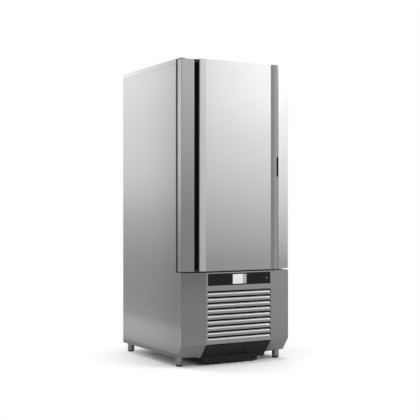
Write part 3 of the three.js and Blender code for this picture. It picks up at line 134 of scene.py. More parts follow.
def along(t, axis, stops):
    """A value along an axis of the piece; stops are (place in m, value)."""
    lo, hi, top = stops[0][0], stops[-1][0], max(v for _, v in stops)
    place = new_node(t, "SeparateXYZ", {0: position(t)})[axis]
    share = new_node(t, "MapRange", {"From Min": lo, "From Max": hi, "Value": place})["Result"]
    f = t.nodes.new("ShaderNodeFloatCurve")
    points = [((p - lo) / (hi - lo), v / top) for p, v in stops]
    curve = f.mapping.curves[0]
    curve.points[0].location = points[0]
    curve.points[1].location = points[-1]
    for p in points[1:-1]:
        curve.points.new(*p)
    f.mapping.update()
    wire(t, f, {"Value": share})
    return maths(t, "MULTIPLY", f.outputs[0], top)


def scaled(t, color, value):
    """A colour times a value."""
    return new_node(t, "VectorMath", {0: color, "Scale": value}, "SCALE")["Vector"]


def bump(t, height, strength, distance):
    return new_node(t, "Bump", {"Strength": strength, "Distance": distance, "Height": height})["Normal"]


def new_material(name, color, roughness, metallic=0.0, specular=0.5):
    m = bpy.data.materials.new(name)
    m.use_nodes = True
    t = m.node_tree
    b = t.nodes["Principled BSDF"]
    wire(t, b, {"Base Color": (*color, 1), "Roughness": roughness, "Metallic": metallic,
                "Specular IOR Level": specular})
    return m, t, b


GRAIN_SIZE, GRAIN_STRETCH, CLOUD_SIZE = 900, 0.012, 1.6


def brushed(name, tone, grain="Z", rough=0.38, metallic=0.45):
    """Satin steel: long fine grain, faint cloudiness, and the sheet's slow change of tone, which is painted light and
    shade from its table.
    """
    color = (tone, tone * 1.003, tone * 1.006)
    m, t, b = new_material(name, color, rough, metallic)
    fine = noise(t, GRAIN_SIZE, 2, [GRAIN_STRETCH if axis == grain else 1 for axis in "XYZ"])
    clouds = spread(t, noise(t, CLOUD_SIZE, 2), 0.985, 1.015)
    value = maths(t, "MULTIPLY", spread(t, fine, 0.965, 1.035), clouds)
    # painted light and shade: the sheet's tone along each axis, from its table of stops
    for axis, stops in PAINTED_SHADE.get(name, {}).items():
        value = maths(t, "MULTIPLY", value, along(t, axis, stops))
    wire(t, b, {"Base Color": scaled(t, color, value), "Roughness": spread(t, fine, rough - 0.05, rough + 0.06),
                "Normal": bump(t, fine, 0.05, 0.0004)})
    return m


def plastic(name, color, rough, grain_size=1400, depth=0.12, change=0.06, specular=0.5):
    m, t, b = new_material(name, color, rough, specular=specular)
    fine, broad = noise(t, grain_size, 2), noise(t, 6, 3)
    value = maths(t, "MULTIPLY", spread(t, fine, 1 - change, 1 + change), spread(t, broad, 0.95, 1.05))
    wire(t, b, {"Base Color": scaled(t, color, value), "Roughness": spread(t, broad, rough - 0.06, rough + 0.06),
                "Normal": bump(t, fine, depth, 0.0005)})
    return m


def metal(name, color, rough, size, change):
    m, t, b = new_material(name, color, rough, 1.0)
    cloud = noise(t, size, 4)
    wire(t, b, {"Base Color": scaled(t, color, spread(t, cloud, 1 - change, 1 + change)),
                "Roughness": spread(t, cloud, rough - 0.08, rough + 0.1),
                "Normal": bump(t, noise(t, 500, 2), 0.05, 0.0004)})
    return m


def placed(name, data):
    o = bpy.data.objects.new(name, data)
    bpy.context.scene.collection.objects.link(o)
    return o


def new_mesh(name, verts, faces):
    """A mesh whose double corners are joined and whose faces look outward."""
    me = bpy.data.meshes.new(name)
    me.from_pydata([(x * MM, y * MM, z * MM) for x, y, z in verts], [], faces)
    bm = bmesh.new()
    bm.from_mesh(me)
    bmesh.ops.remove_doubles(bm, verts=bm.verts, dist=1e-6)
    bmesh.ops.recalc_face_normals(bm, faces=bm.faces)
    bm.to_mesh(me)
    bm.free()
    return me


def piece(name, verts, faces, material, body, node=None, smooth=30.0):
    """A piece that rides on a body, and replaces a node of the solids where one is given."""
    me = new_mesh(name, verts, faces)
    me.materials.append(material)
    me.polygons.foreach_set("use_smooth", [True] * len(me.polygons))
    me.set_sharp_from_angle(angle=math.radians(smooth))
    o = placed(name, me)
    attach(o, body)
    if node:
        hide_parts(node)
    return o


def soften(o, width, angle=35.0):
    """Rounds a piece's edges."""
    m = o.modifiers.new("round", "BEVEL")
    m.width = width * MM
    m.segments = 2
    m.limit_method = "ANGLE"
    m.angle_limit = math.radians(angle)
    m.harden_normals = True


def bake(o, smooth):
    """Applies a piece's modifiers, then finds its sharp edges again."""
    me = bpy.data.meshes.new_from_object(o.evaluated_get(bpy.context.evaluated_depsgraph_get()))
    o.modifiers.clear()
    o.data = me
    me.set_sharp_from_angle(angle=math.radians(smooth))


def thicken(o, thickness, smooth):
    """Gives a skin of faces a sheet's thickness, half to each side."""
    m = o.modifiers.new("thick", "SOLIDIFY")
    m.thickness = thickness * MM
    m.offset = 0.0
    bake(o, smooth)


def rounded(points, steps=4, closed=False):
    """Corners given as (u, v, radius) become arcs, with a point just beyond each end to keep the flats flat."""
    out = []
    beyond = 0.6
    n = len(points)
    for i, p in enumerate(points):
        r = p[2] if len(p) > 2 else 0
        if r <= 0 or (not closed and i in (0, n - 1)):
            out.append((p[0], p[1]))
            continue
        a, b, c = Vector(points[i - 1][:2]), Vector(p[:2]), Vector(points[(i + 1) % n][:2])
        u, w = (a - b).normalized(), (c - b).normalized()
        half = math.acos(max(-1.0, min(1.0, u.dot(w)))) / 2
        if half > math.pi / 2 - 0.01:
            out.append((p[0], p[1]))
            continue
        cut = min(r / math.tan(half), (a - b).length * 0.49, (c - b).length * 0.49)
        rr = cut * math.tan(half)
        centre = b + (u + w).normalized() * (rr / math.sin(half))
        start, end = b + u * cut, b + w * cut
        if (a - b).length - cut > 2 * beyond:
            out.append(tuple(start + u * beyond))
        a0 = math.atan2(start.y - centre.y, start.x - centre.x)
        a1 = math.atan2(end.y - centre.y, end.x - centre.x)
        turn = (a1 - a0 + math.pi) % (2 * math.pi) - math.pi
        for k in range(steps + 1):
            g = a0 + turn * k / steps
            out.append((centre.x + rr * math.cos(g), centre.y + rr * math.sin(g)))
        if (c - b).length - cut > 2 * beyond:
            out.append(tuple(end + w * beyond))
    return out


def inward(points, distance):
    """A path moved sideways, to its left."""
    runs = [Vector(b) - Vector(a) for a, b in zip(points, points[1:])]
    sides = [Vector((-run.y, run.x)).normalized() for run in runs]
    out = []
    for p, before, after in zip(points, sides[:1] + sides, sides + sides[-1:]):
        n = before + after
        n *= 2 * distance / n.length_squared
        out.append((p[0] + n.x, p[1] + n.y))
    return out


def sheet_outline(points):
    return list(points) + inward(points, SHEET)[::-1]


def rect(x0, x1, z0, z1, grow=0):
    return [(x0 - grow, z0 - grow), (x1 + grow, z0 - grow), (x1 + grow, z1 + grow), (x0 - grow, z1 + grow)]


def round_rect(box, radius, steps, grow=0):
    return rounded([(x, z, radius) for x, z in rect(*box, grow)], steps, closed=True)


def band(n, rings, wrap=False):
    """Quads between rings of n points each; wrap joins the last ring to the first."""
    return [(i * n + k, i * n + (k + 1) % n, (i + 1) % rings * n + (k + 1) % n, (i + 1) % rings * n + k)
            for i in range(rings if wrap else rings - 1) for k in range(n)]


def caps(n, rings):
    """The first and the last ring, closed."""
    return [tuple(range(n - 1, -1, -1)), tuple(range((rings - 1) * n, rings * n))]


PLACE = {
    "Z": lambda u, v, w: (u, v, w),
    "X": lambda u, v, w: (w, u, v),
    "Y": lambda u, v, w: (u, w, v),
}


def prism(name, outline, lo, hi, axis, material, body, node=None, smooth=30.0):
    """An outline drawn out along an axis: (x, y) for Z, (y, z) for X, (x, z) for Y."""
    n = len(outline)
    verts = [PLACE[axis](u, v, w) for w in (lo, hi) for u, v in outline]
    return piece(name, verts, caps(n, 2) + band(n, 2), material, body, node, smooth)


def block(name, x0, x1, y0, y1, z0, z1, material, body, node, edge):
    soften(prism(name, rect(x0, x1, y0, y1), z0, z1, "Z", material, body, node), edge)


def turned(name, profile, centre, axis, material, body, node=None, sides=48, smooth=35.0):
    """A shape turned about an axis through the centre; the profile lists (radius, height along the axis)."""
    turns = [2 * math.pi * k / sides for k in range(sides)]
    verts = [PLACE[axis](centre[0] + r * math.cos(a), centre[1] + r * math.sin(a), h)
             for r, h in profile for a in turns]
    n = len(profile)
    return piece(name, verts, band(sides, n) + caps(sides, n), material, body, node, smooth)


def tube_mesh(path, radius, sides):
    pts = [Vector(p) for p in path]
    across = Vector((0.31, 0.52, 0.79)).cross(pts[1] - pts[0]).normalized()
    verts = []
    for i, p in enumerate(pts):
        a = (pts[i] - pts[i - 1]).normalized() if i else (pts[1] - pts[0]).normalized()
        b = (pts[i + 1] - pts[i]).normalized() if i < len(pts) - 1 else a
        t = (a + b).normalized()
        across = (across - t * across.dot(t)).normalized()
        up = t.cross(across)
        for k in range(sides):
            g = 2 * math.pi * k / sides
            verts.append(tuple(p + (across * math.cos(g) + up * math.sin(g)) * radius))
    return verts, band(sides, len(pts)) + caps(sides, len(pts))


def bent(points, bend, steps=6):
    """A path of straight runs with rounded corners."""
    pts = [Vector(p) for p in points]
    out = [pts[0]]
    for i in range(1, len(pts) - 1):
        back, ahead = pts[i - 1] - pts[i], pts[i + 1] - pts[i]
        run = min(bend, back.length / 2, ahead.length / 2)
        s, e = pts[i] + back.normalized() * run, pts[i] + ahead.normalized() * run
        for k in range(steps + 1):
            t = k / steps
            out.append(s * (1 - t) ** 2 + pts[i] * 2 * t * (1 - t) + e * t * t)
    return out + [pts[-1]]


def merged(name, parts, material, body, node=None, smooth=30.0):
    """Several (verts, faces) in one piece."""
    verts, faces = [], []
    for v, f in parts:
        o = len(verts)
        verts += v
        faces += [tuple(i + o for i in face) for face in f]
    return piece(name, verts, faces, material, body, node, smooth)


def solid_box(x0, x1, y0, y1, z0, z1):
    return [(x, y, z) for z in (z0, z1) for x, y in rect(x0, x1, y0, y1)], caps(4, 2) + band(4, 2)


def ring_mesh(outer, inner, y0, y1):
    """A closed ring between two loops of (x, z) that have as many points as each other."""
    verts = [(x, y, z) for loop, y in ((outer, y0), (inner, y0), (inner, y1), (outer, y1)) for x, z in loop]
    return verts, band(len(outer), 4, wrap=True)


def screws(name, places, axis, sign, body, r=4.5):
    """Low domed screw heads with a cross recess; places are points on the face they hold."""
    rings = [(r, 0.0), (r, 0.6), (r * 0.8, 1.6), (r * 0.45, 2.1), (r * 0.2, 1.0), (0, 0.9)]
    sides, notch = 16, 0.62
    parts = []
    for x, y, z in places:
        verts = []
        for ring, h in rings:
            for k in range(sides):
                a = 2 * math.pi * k / sides
                arm = ring * (notch if ring < r * 0.5 and k % 4 else 1.0)
                u, v, d = arm * math.cos(a), arm * math.sin(a), h * sign
                verts.append((x + d, y + u, z + v) if axis == "X" else (x + u, y + d, z + v))
        parts.append((verts, band(sides, len(rings)) + [tuple(range(sides))]))
    merged(name, parts, steel_bare, body)


def finish_faces(o, material, test):
    """Gives the faces that pass the test a finish of their own."""
    o.data.materials.append(material)
    for p in o.data.polygons:
        if test(p):
            p.material_index = len(o.data.materials) - 1


def repaint(material, *nodes, edge=0.0):
    """Gives nodes of the solids a finish, and rounds their edges."""
    for n in nodes:
        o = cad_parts[n]
        o.data.materials.clear()
        o.data.materials.append(material)
        if edge:
            soften(o, edge, 40)


# ------------------------------------------------------------------ materials
# Painted light and shade: the brushed steels from here down to the louvres' steel are one steel, given lighter and
# darker tones for how the light falls on each sheet.
steel_side = brushed("steel_side", 0.50)
steel_side_right = brushed("steel_side_right", 0.46)
steel_strip = brushed("steel_strip", 0.36)
steel_main = brushed("steel_main", 0.52)
steel_fold = brushed("steel_fold", 0.45)
steel_lip = brushed("steel_lip", 0.34)
steel_handle = brushed("steel_handle", 0.52)
steel_facet_left = brushed("steel_facet_left", 0.30)
steel_facet_right = brushed("steel_facet_right", 0.34)
steel_edge_shaded = brushed("steel_edge_shaded", 0.39)
steel_flange = brushed("steel_flange", 0.45, "Y")
steel_wall_painted_light = brushed("steel_wall_painted_light", 0.78, rough=0.45, metallic=0.3)
steel_service = brushed("steel_service", 0.29, "X")
steel_louvre = brushed("steel_louvre", 0.34, "X", rough=0.34)
steel_top = brushed("steel_top", 0.5, "X")
steel_back = brushed("steel_back", 0.45, "X", rough=0.42)
steel_inner = brushed("steel_inner", 0.55, rough=0.34, metallic=0.6)
# painted shade: the legs' steel is set dark and stands for the shade under the cabinet
steel_leg = brushed("steel_leg", 0.19, rough=0.16, metallic=0.95)
steel_bare = metal("bare_steel", (0.5, 0.5, 0.51), 0.32, 60, 0.05)
galvanised = metal("galvanised", (0.42, 0.43, 0.44), 0.45, 90, 0.16)
copper = metal("copper", (0.40, 0.19, 0.11), 0.42, 30, 0.14)
aluminium = metal("aluminium", (0.62, 0.63, 0.64), 0.38, 80, 0.08)
black_trim = plastic("black_trim", (0.011, 0.011, 0.012), 0.55, specular=0.2)
black_tray = plastic("black_tray", (0.013, 0.013, 0.014), 0.55, 1100, specular=0.2)
black_grip_and_shade = plastic("black_grip_and_shade", (0.004, 0.004, 0.004), 0.7, specular=0.05)
black_fan = plastic("black_fan", (0.02, 0.02, 0.022), 0.4)
black_paint = plastic("black_paint", (0.012, 0.012, 0.013), 0.35, 700, 0.06)
grey_plastic = plastic("grey_plastic", (0.30, 0.31, 0.32), 0.45)
rubber = plastic("rubber", (0.014, 0.014, 0.015), 0.8, 900, 0.2, specular=0.2)
foam = plastic("foam", (0.78, 0.70, 0.46), 0.9, 300, 0.7, 0.1)
# black fins: a coated coil, and the black also paints the shade seen through the louvre slots
black_fins_and_slot_shade = plastic("black_fins_and_slot_shade", (0.012, 0.012, 0.013), 0.6, 900, specular=0.2)
circuit = plastic("circuit", (0.02, 0.12, 0.05), 0.35, 260, 0.2, 0.25)


def glass_black():
    color = (0.008, 0.008, 0.009)
    m, t, b = new_material("black_glass", color, 0.08, specular=0.16)
    smear = noise(t, 25, 3)
    wire(t, b, {"Roughness": spread(t, smear, 0.05, 0.14),
                "Base Color": scaled(t, color, spread(t, smear, 0.9, 1.15))})
    return m


def screen_material():
    """A lit page: pale field with soft blocks, a greyer column at its right."""
    column_x, rows_per_metre, row_gap, grey = 0.0285, 64.0, 0.16, 0.44
    m, t, b = new_material("screen", (0.6, 0.61, 0.62), 0.25, specular=0.1)
    place = new_node(t, "SeparateXYZ", {0: position(t)})
    column = maths(t, "GREATER_THAN", place["X"], column_x)
    row = maths(t, "FRACT", maths(t, "MULTIPLY", place["Z"], rows_per_metre))
    block_on = maths(t, "MULTIPLY", column, maths(t, "GREATER_THAN", row, row_gap))
    level = new_node(t, "MapRange", {"To Min": 1.0, "To Max": grey, "Value": block_on})["Result"]
    soft = spread(t, noise(t, 70, 1, (1, 1, 1.6)), 0.86, 1.08)
    shown = scaled(t, (0.86, 0.88, 0.9), maths(t, "MULTIPLY", level, soft))
    wire(t, b, {"Emission Color": shown, "Base Color": shown, "Emission Strength": 0.3})
    return m


def lamp_material():
    color = (0.4, 0.4, 0.41)
    m, t, b = new_material("lamp_grey", color, 0.4)
    wire(t, b, {"Base Color": scaled(t, color, spread(t, noise(t, 400, 2), 0.9, 1.1))})
    return m


black_glass = glass_black()
screen_lit = screen_material()
lamp_grey = lamp_material()

# ------------------------------------------------------------------ cabinet skins
HEM, SEAM_Z = 6.0, 1939.3
HEM_Y = FRAME_Y + HEM


def side_skin(s, name, node, material):
    """A side panel, cut away at the top front for the door, and the hem of its front edge; s is -1 or 1."""
    outline = rounded([(BACK, BASE, 2), (BACK, SEAM_Z), (HEM_Y, SEAM_Z), (HEM_Y, LEDGE), (CORNER, LEDGE),
                       (CORNER, BEND, 3), (CORNER + BEVEL_RUN, BASE, 2)], closed=True)
    x0, x1 = sorted((s * HALF, s * (HALF - SHEET)))
    soften(prism(name, outline, x0, x1, "X", material, "cabinet", node), 0.5)
    hem = rounded([(s * HALF, HEM_Y), (s * HALF, FRAME_Y, HEM), (s * (HALF - HEM), FRAME_Y)], 8)
    prism(name + "_hem", sheet_outline(hem[::-s]), LEDGE + 0.6, SEAM_Z, "Z", material, "cabinet", None, 40)


side_skin(-1, "skin_left", "left_side_panel", steel_side)
side_skin(1, "skin_right", "right_side_panel", steel_side_right)

cover = rounded([(-HALF, 1940), (-HALF, TOP, 3), (HALF, TOP, 3), (HALF, 1940)], 5)[::-1]
cover_sheet = prism("cover", sheet_outline(cover), FRAME_Y, BACK, "Y", steel_top, "cabinet", "top_cover", 40)
# painted shade: the cover's side flanges take a copy of the steel that is darker towards the front
finish_faces(cover_sheet, steel_flange, lambda p: abs(p.normal.x) > 0.5)
block("cover_front", -HALF + 3, HALF - 3, FRAME_Y, FRAME_Y + 1.2, 1958, TOP - 1.6, steel_top, "cabinet", None, 0.4)
for side, x in (("left", -405.4), ("right", 400.9)):
    block("cover_corner_" + side, x, x + 4.5, FRAME_Y, FRAME_Y + 1.4, 1938.0, 1968.2, steel_top, "cabinet", None, 0.3)

# door frame, and a black band round its opening, outside the gasket, that paints the shade in the gap behind the door
frame_ring = ring_mesh(rect(-FRAME_X, FRAME_X, FRAME_LOW, FRAME_TOP), rect(-LINER_X, LINER_X, CHAMBER_LOW, CHAMBER_TOP),
                       FRAME_Y, FRAME_Y + SHEET)
merged("frame_ring", [frame_ring], steel_inner, "cabinet", "door_frame")
gap_shade_ring = ring_mesh(rect(-FRAME_X, FRAME_X, 611.9, 1962.9), rect(-383, 383, 634, 1941),
                       FRAME_Y - 1.2, FRAME_Y + 0.2)
merged("gap_shade_band", [gap_shade_ring], black_grip_and_shade, "cabinet")

# back: sheet with two columns of pressed vents and its screws
repaint(steel_back, "back_panel", edge=0.5)
VENT_HALF, VENT_HIGH, VENT_RIM = 90, 14, 3
vents = [(x - VENT_HALF, x + VENT_HALF, z, z + VENT_HIGH) for x in (-120, 120) for z in range(180, 431, 50)]
vent_rims = [ring_mesh(rect(*vent, VENT_RIM), rect(*vent), BACK - 0.2, BACK + 1.6) for vent in vents]
soften(merged("vent_rims", vent_rims, steel_back, "cabinet"), 0.7)
screws("back_screws", [(x, BACK, z) for x in (-392, 392) for z in (90, 420, 760, 1100, 1440, 1780, 1945)]
       + [(x, BACK, z) for x in (-200, 0, 200) for z in (84, 1950)], "Y", 1, "cabinet")

# ------------------------------------------------------------------ lower front
repaint(steel_facet_left, "front_facet_left", edge=0.7)
repaint(steel_facet_right, "front_facet_right", edge=0.7)
repaint(steel_service, "ledge_plate", edge=0.4)
repaint(black_tray, "front_sill", edge=0.4)
repaint(galvanised, "base_plate")

# service panel: a sheet with nine pressed louvres, rounded at both ends; its window is (x0, x1, z0, z1)
LOUVRES, PITCH, L_TOP, L_SLOT, L_RISE, L_DEEP = 9, 36.4, 486.0, 11.0, 12.0, 13.0
L_LEFT, L_RIGHT, L_CORNER, L_START, L_END = -235.0, 243.8, 7.0, 0.8, 4.9
STEPS = 7  # places up a louvre's curve
ROWS = STEPS + 4  # levels for each louvre
P_HALF, P_LOW, P_TOP = 245.25, 144.8, 601.2
WINDOW = (-232.5, 242.1, 518.9, 596.5)
EDGE_R = 1.2
CLOSE = 0.01  # places nearer than this are the same
SERVICE_PIVOT = (-242.75, -451.5)


def corner_drop(x):
    """How much lower a louvre's opening is near its rounded end."""
    near = L_CORNER - min(L_CORNER, max(0.0, min(x - L_LEFT, L_RIGHT - x)))
    return L_CORNER - math.sqrt(max(0.0, L_CORNER ** 2 - near ** 2))


def blade(k):
    """Share of depth and rise at one place up a louvre's curve."""
    start = math.radians(24)
    g = start + (math.pi / 2 - start) * k / (STEPS - 1)
    return (math.cos(start) - math.cos(g)) / math.cos(start), (math.sin(g) - math.sin(start)) / (1 - math.sin(start))


def service_columns():
    """Columns over the panel's front and its folded sides: x, y, whether louvres cross it, and their corners' drop."""
    fold = rounded([(-P_HALF, FLAT + 14), (-P_HALF, FLAT, EDGE_R), (-P_HALF + 1.4, FLAT)])[:-1]
    ends = (L_START, 2.0, L_END, L_CORNER)
    inside = {L_LEFT + e for e in ends} | {L_RIGHT - e for e in ends} | {*WINDOW[:2], -110.0, 0.0, 110.0}
    columns = [(x, y, 0, corner_drop(L_LEFT)) for x, y in fold + [(L_LEFT, FLAT)]]
    columns += [(x, FLAT, 1, corner_drop(x)) for x in [L_LEFT, *sorted(inside), L_RIGHT]]
    return columns + [(-x, y, 0, corner_drop(L_RIGHT)) for x, y in [(-L_RIGHT, FLAT), *reversed(fold)]]


def service_sheet():
    """Quads between the columns, each of which has the same levels."""
    columns = service_columns()
    tops = rounded([(P_TOP - 2.4, 0), (P_TOP, 0, 1.5), (P_TOP, 14)])
    verts = []
    for x, y, louvred, drop in columns:
        verts.append((x, y, P_LOW))
        for i in reversed(range(LOUVRES)):
            low = L_TOP - i * PITCH - L_SLOT - L_RISE
            full = low + L_SLOT + L_RISE - drop
            verts.append((x, y, low - 0.5))
            verts += [(x, y + L_DEEP * deep * louvred, low + (L_RISE - 0.6 * drop) * rise)
                      for deep, rise in map(blade, range(STEPS))]
            verts += [(x, y + 3.0 * louvred, full - 1.0), (x, y, full), (x, y, full + 0.5)]
        verts += [(x, y, z) for z in WINDOW[2:]]
        verts += [(x, y + (d if y < FLAT + CLOSE else 0.0), z) for z, d in tops]
    n = len(verts) // len(columns)
    window_row = ROWS * LOUVRES + 1
    faces = []
    for c, ((x0, _, louvred, _), (x1, _, next_louvred, _)) in enumerate(zip(columns, columns[1:])):
        if abs(x0 - x1) < 1e-6 and louvred != next_louvred:
            continue
        open_rows = range(STEPS + 1, STEPS + 2)
        if x0 > L_RIGHT - L_END - CLOSE or x1 < L_LEFT + L_START + CLOSE:
            open_rows = range(2, STEPS + 2)
        by_window = WINDOW[0] - CLOSE <= x0 and x1 <= WINDOW[1] + CLOSE
        for r in range(n - 1):
            in_louvre = louvred and r < window_row and r % ROWS in open_rows
            if not (in_louvre or (by_window and r == window_row)):
                a = c * n + r
                faces.append((a, a + n, a + n + 1, a + 1))
    o = piece("service_sheet", verts, faces, steel_service, "service_door", "service_panel", 17)
    # painted highlight: the louvres' upward blades take a lighter copy of the steel, brightening towards their right
    # ends
    finish_faces(o, steel_louvre, lambda p: p.center.y > (FLAT + 0.05) * MM and abs(p.normal.z) > 0.08
                 and P_LOW + 5 < p.center.z / MM < 500)
    thicken(o, 1.2, 17)
    # painted shade: the folded sides' inner faces are black, which darkens the slots' ends
    finish_faces(o, black_grip_and_shade, lambda p: p.normal.x * p.center.x < 0 and abs(p.normal.x) > 0.9
                 and abs(p.center.x) > (P_HALF - 2) * MM)


service_sheet()
turned("service_pins", [(1.8, 140.0), (1.8, 146.0)], SERVICE_PIVOT, "Z", steel_bare, "service_door")
turned("service_pin_top", [(1.8, 599.0), (1.8, 602.7)], SERVICE_PIVOT, "Z", steel_bare, "service_door")
screws("service_catch", [(236, FLAT, 158), (236, FLAT, 505)], "Y", -1, "service_door", 3.2)

# control strip, as (x0, x1, z0, z1)
GLASS = (-232.2, 241.8, 519.2, 596.2)
SCREEN = (-47.2, 56.8, 526.7, 588.7)
glass = ring_mesh(rect(*GLASS), rect(*SCREEN, 0.3), FLAT - 1, FLAT + 3)
merged("glass_strip", [glass], black_glass, "service_door", "control_glass")
block("screen", *SCREEN[:2], FLAT - 0.6, FLAT + 7.4, *SCREEN[2:], screen_lit, "service_door", "display_screen", 0.4)
turned("light", [(0, FLAT - 1.6), (2.8, FLAT - 1.5), (4.2, FLAT - 1.1), (4.4, FLAT + 2)], (212.5, 556.2), "Y",
       lamp_grey, "service_door", "status_light", 24)


def control_board():
    """The board with its chips, cans and plugs on the inner side."""
    (x0, y0, z0), (x1, y1, z1) = ([v / MM for v in corner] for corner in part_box("control_board"))
    block("board", x0, x1, y0, y1, z0, z1, circuit, "service_door", "control_board", 0.3)

    def at(u, v):
        return x0 + (x1 - x0) * u, z0 + (z1 - z0) * v

    # shares of the board's width and height, then width, height and depth
    dark = [(0.10, 0.55, 30, 30, 3), (0.22, 0.5, 16, 22, 2.5), (0.36, 0.62, 40, 14, 3), (0.60, 0.4, 22, 22, 3.5),
            (0.71, 0.7, 12, 18, 2.5), (0.84, 0.45, 34, 24, 4)]
    pale = [(0.16, 0.16, 46, 9, 9), (0.42, 0.16, 60, 9, 9), (0.72, 0.16, 34, 9, 9), (0.92, 0.8, 10, 16, 8)]
    for key, rows, material in (("chips", dark, black_trim), ("plugs", pale, grey_plastic)):
        parts = []
        for u, v, w, h, deep in rows:
            cx, cz = at(u, v)
            parts.append(solid_box(cx - w / 2, cx + w / 2, y1, y1 + deep, cz - h / 2, cz + h / 2))
        soften(merged("board_" + key, parts, material, "service_door"), 0.5)
    for k, (u, v) in enumerate(((0.28, 0.78), (0.52, 0.78), (0.66, 0.75))):
        turned(f"board_can_{k}", [(5.5, y1), (6, y1 + 0.6), (6, y1 + 8.6), (5.3, y1 + 9.4), (4.6, y1 + 9.1)],
               at(u, v), "Y", aluminium, "service_door", None, 24)


control_board()

# ------------------------------------------------------------------ drip tray
SKIRT, T_LOW, T_WALL, POCKET = 52.0, 12.0, 3.8, 6.0
T_BACK, T_LEFT, T_RIGHT = -70, -226, 183  # the pan's back and sides
GRIP_HOLE = (-52.1, 82.0, 62.0, 91.0)


def t_face(z):
    """The front slopes back below the bend, and drops straight below the skirt."""
    return FLAT + (BEND - max(z, SKIRT)) * BEVEL_RUN / (BEND - BASE)


def pairs(loop):
    return zip(loop, loop[1:] + loop[:1])


def cut_at_skirt(loop, above):
    """The part of a loop of (x, z) above or below the skirt's crease."""
    out = []
    for (xa, za), (xb, zb) in pairs(loop):
        if (za >= SKIRT) == above:
            out.append((xa, za))
        if (za >= SKIRT) != (zb >= SKIRT):
            out.append((xa + (xb - xa) * (SKIRT - za) / (zb - za), SKIRT))
    return out


def tray_front():
    """The sloping front as a closed sheet, with a pressed pocket for the hand."""
    outline = rounded([(-243.5, 136, 3), (-243.5, SKIRT, 6), (T_LEFT, T_LOW, 5), (T_RIGHT, T_LOW, 4),
                       (T_RIGHT, 32, 3), (235, 32, 4), (243.5, SKIRT, 5), (243.5, 136, 3)], closed=True)
    verts, faces = [], []

    def face(loops, deep):
        start = len(verts)
        verts.extend((x, t_face(z) + deep, z) for loop in loops for x, z in loop)
        flat = [[Vector((x, z, 0)) for x, z in loop] for loop in loops]
        faces.extend(tuple(start + i for i in triangle) for triangle in tessellate_polygon(flat))

    def wall(loop, near, far):
        for (xa, za), (xb, zb) in pairs(loop):
            if (za, zb) != (SKIRT, SKIRT):
                start = len(verts)
                verts.extend([(xa, t_face(za) + near, za), (xb, t_face(zb) + near, zb), (xb, t_face(zb) + far, zb),
                              (xa, t_face(za) + far, za)])
                faces.append(tuple(range(start, start + 4)))

    upper, lower = cut_at_skirt(outline, True), cut_at_skirt(outline, False)
    for deep, grow in ((0.0, 0), (T_WALL, 2)):
        grip = round_rect(GRIP_HOLE, 5, 4, grow)
        face([upper, grip], deep)
        face([lower], deep)
        wall(grip, deep, deep + POCKET)
        face([grip], deep + POCKET)
    wall(upper, 0.0, T_WALL)
    wall(lower, 0.0, T_WALL)
    return verts, faces


tray_y = t_face(SKIRT) + 3
# the pan's floor, its two sides and back, the two runners and two ribs
pan = [(T_LEFT, T_RIGHT, tray_y, T_BACK, T_LOW, 15), (T_LEFT, -223, tray_y, T_BACK, 15, 56),
       (180, T_RIGHT, tray_y, T_BACK, 15, 56), (-223, 180, -73, T_BACK, 15, 56),
       (-235, T_LEFT, -340, T_BACK, 47, 49), (T_RIGHT, 192, -340, T_BACK, 47, 49),
       (-200, 160, -300, -296, 15, 17), (-200, 160, -150, -146, 15, 17)]
merged("tray_shell", [tray_front()] + [solid_box(*box) for box in pan], black_tray, "tray", "drip_tray", 32)

# ------------------------------------------------------------------ legs and feet
LEG = [(8.3, 9.5), (20.5, 9.5), (22.6, 10.2), (23.6, 11.4), (24, 13.2), (24, 52), (25.6, 54), (26.5, 58.6), (8.3, 58.6)]
FOOT = [(0, 0), (19.6, 0), (20.7, 0.8), (21, 2), (21, 5), (20.2, 5.6), (20.2, 6.4), (20.8, 7), (20, 8.6), (8, 9)]
for k in range(14):
    FOOT += [(8.0, 10 + 2.8 * k), (7.2, 11.4 + 2.8 * k)]  # the thread
FOOT += [(7.2, 51), (0, 51)]
for row, y in (("front", -323.0), ("back", 417.0)):
    for side, x in (("left", -369.0), ("right", 369.0)):
        key = f"{row}_{side}"
        turned(f"leg_tube_{key}", LEG, (x, y), "Z", steel_leg, "cabinet", f"leg_{key}")
        turned(f"foot_pad_{key}", FOOT, (x, y), "Z", black_trim, "foot_" + row[0] + side[0], f"foot_{key}")

# ------------------------------------------------------------------ door
hinge_side = rounded([(-DOOR_HALF, LINER_FRONT), (-DOOR_HALF, front_y(DOOR_HALF), 3.5),
                      (GROOVE_L, front_y(GROOVE_L), 2), (GROOVE_L, GROOVE_Y)], 5)
hinge_skin = prism("hinge_skin", sheet_outline(hinge_side), DOOR_LOW, STRIP_TOP, "Z", steel_strip, "door",
                   "door_skin_hinge_side", 40)
# painted shade: the hinge side's outer face takes a darker copy of the steel
finish_faces(hinge_skin, steel_edge_shaded, lambda p: p.normal.x < -0.75)


def end_plates(name, outline, top, material):
    """Closes a hollow skin at its foot and its head."""
    for k, z in enumerate((DOOR_LOW + 0.3, top - 1.8)):
        prism(f"{name}_{k}", outline, z, z + 1.5, "Z", material, "door")


end_plates("hinge_cap", [(-405, LINER_FRONT), (-405, front_y(405) + 1), (-323, front_y(323) + 1), (-323, LINER_FRONT)],
           STRIP_TOP, steel_strip)

LIP = (290.0, -470.0)
main = rounded([(GROOVE_R, GROOVE_Y), (GROOVE_R, FLAT + 3.5, 4.5), (-CREASE, FLAT, 30), (CREASE, FLAT, 7),
                (*LIP, 2.6), (292.7, -462.5, 2.6), (256, -449.1, 4), (256, -424)], 6)
skin = prism("main_skin", sheet_outline(main), DOOR_LOW, DOOR_TOP, "Z", steel_main, "door", "door_main_skin", 24)
past_crease, lip_back = (CREASE + 0.5) * MM, (FLAT + 4.5) * MM
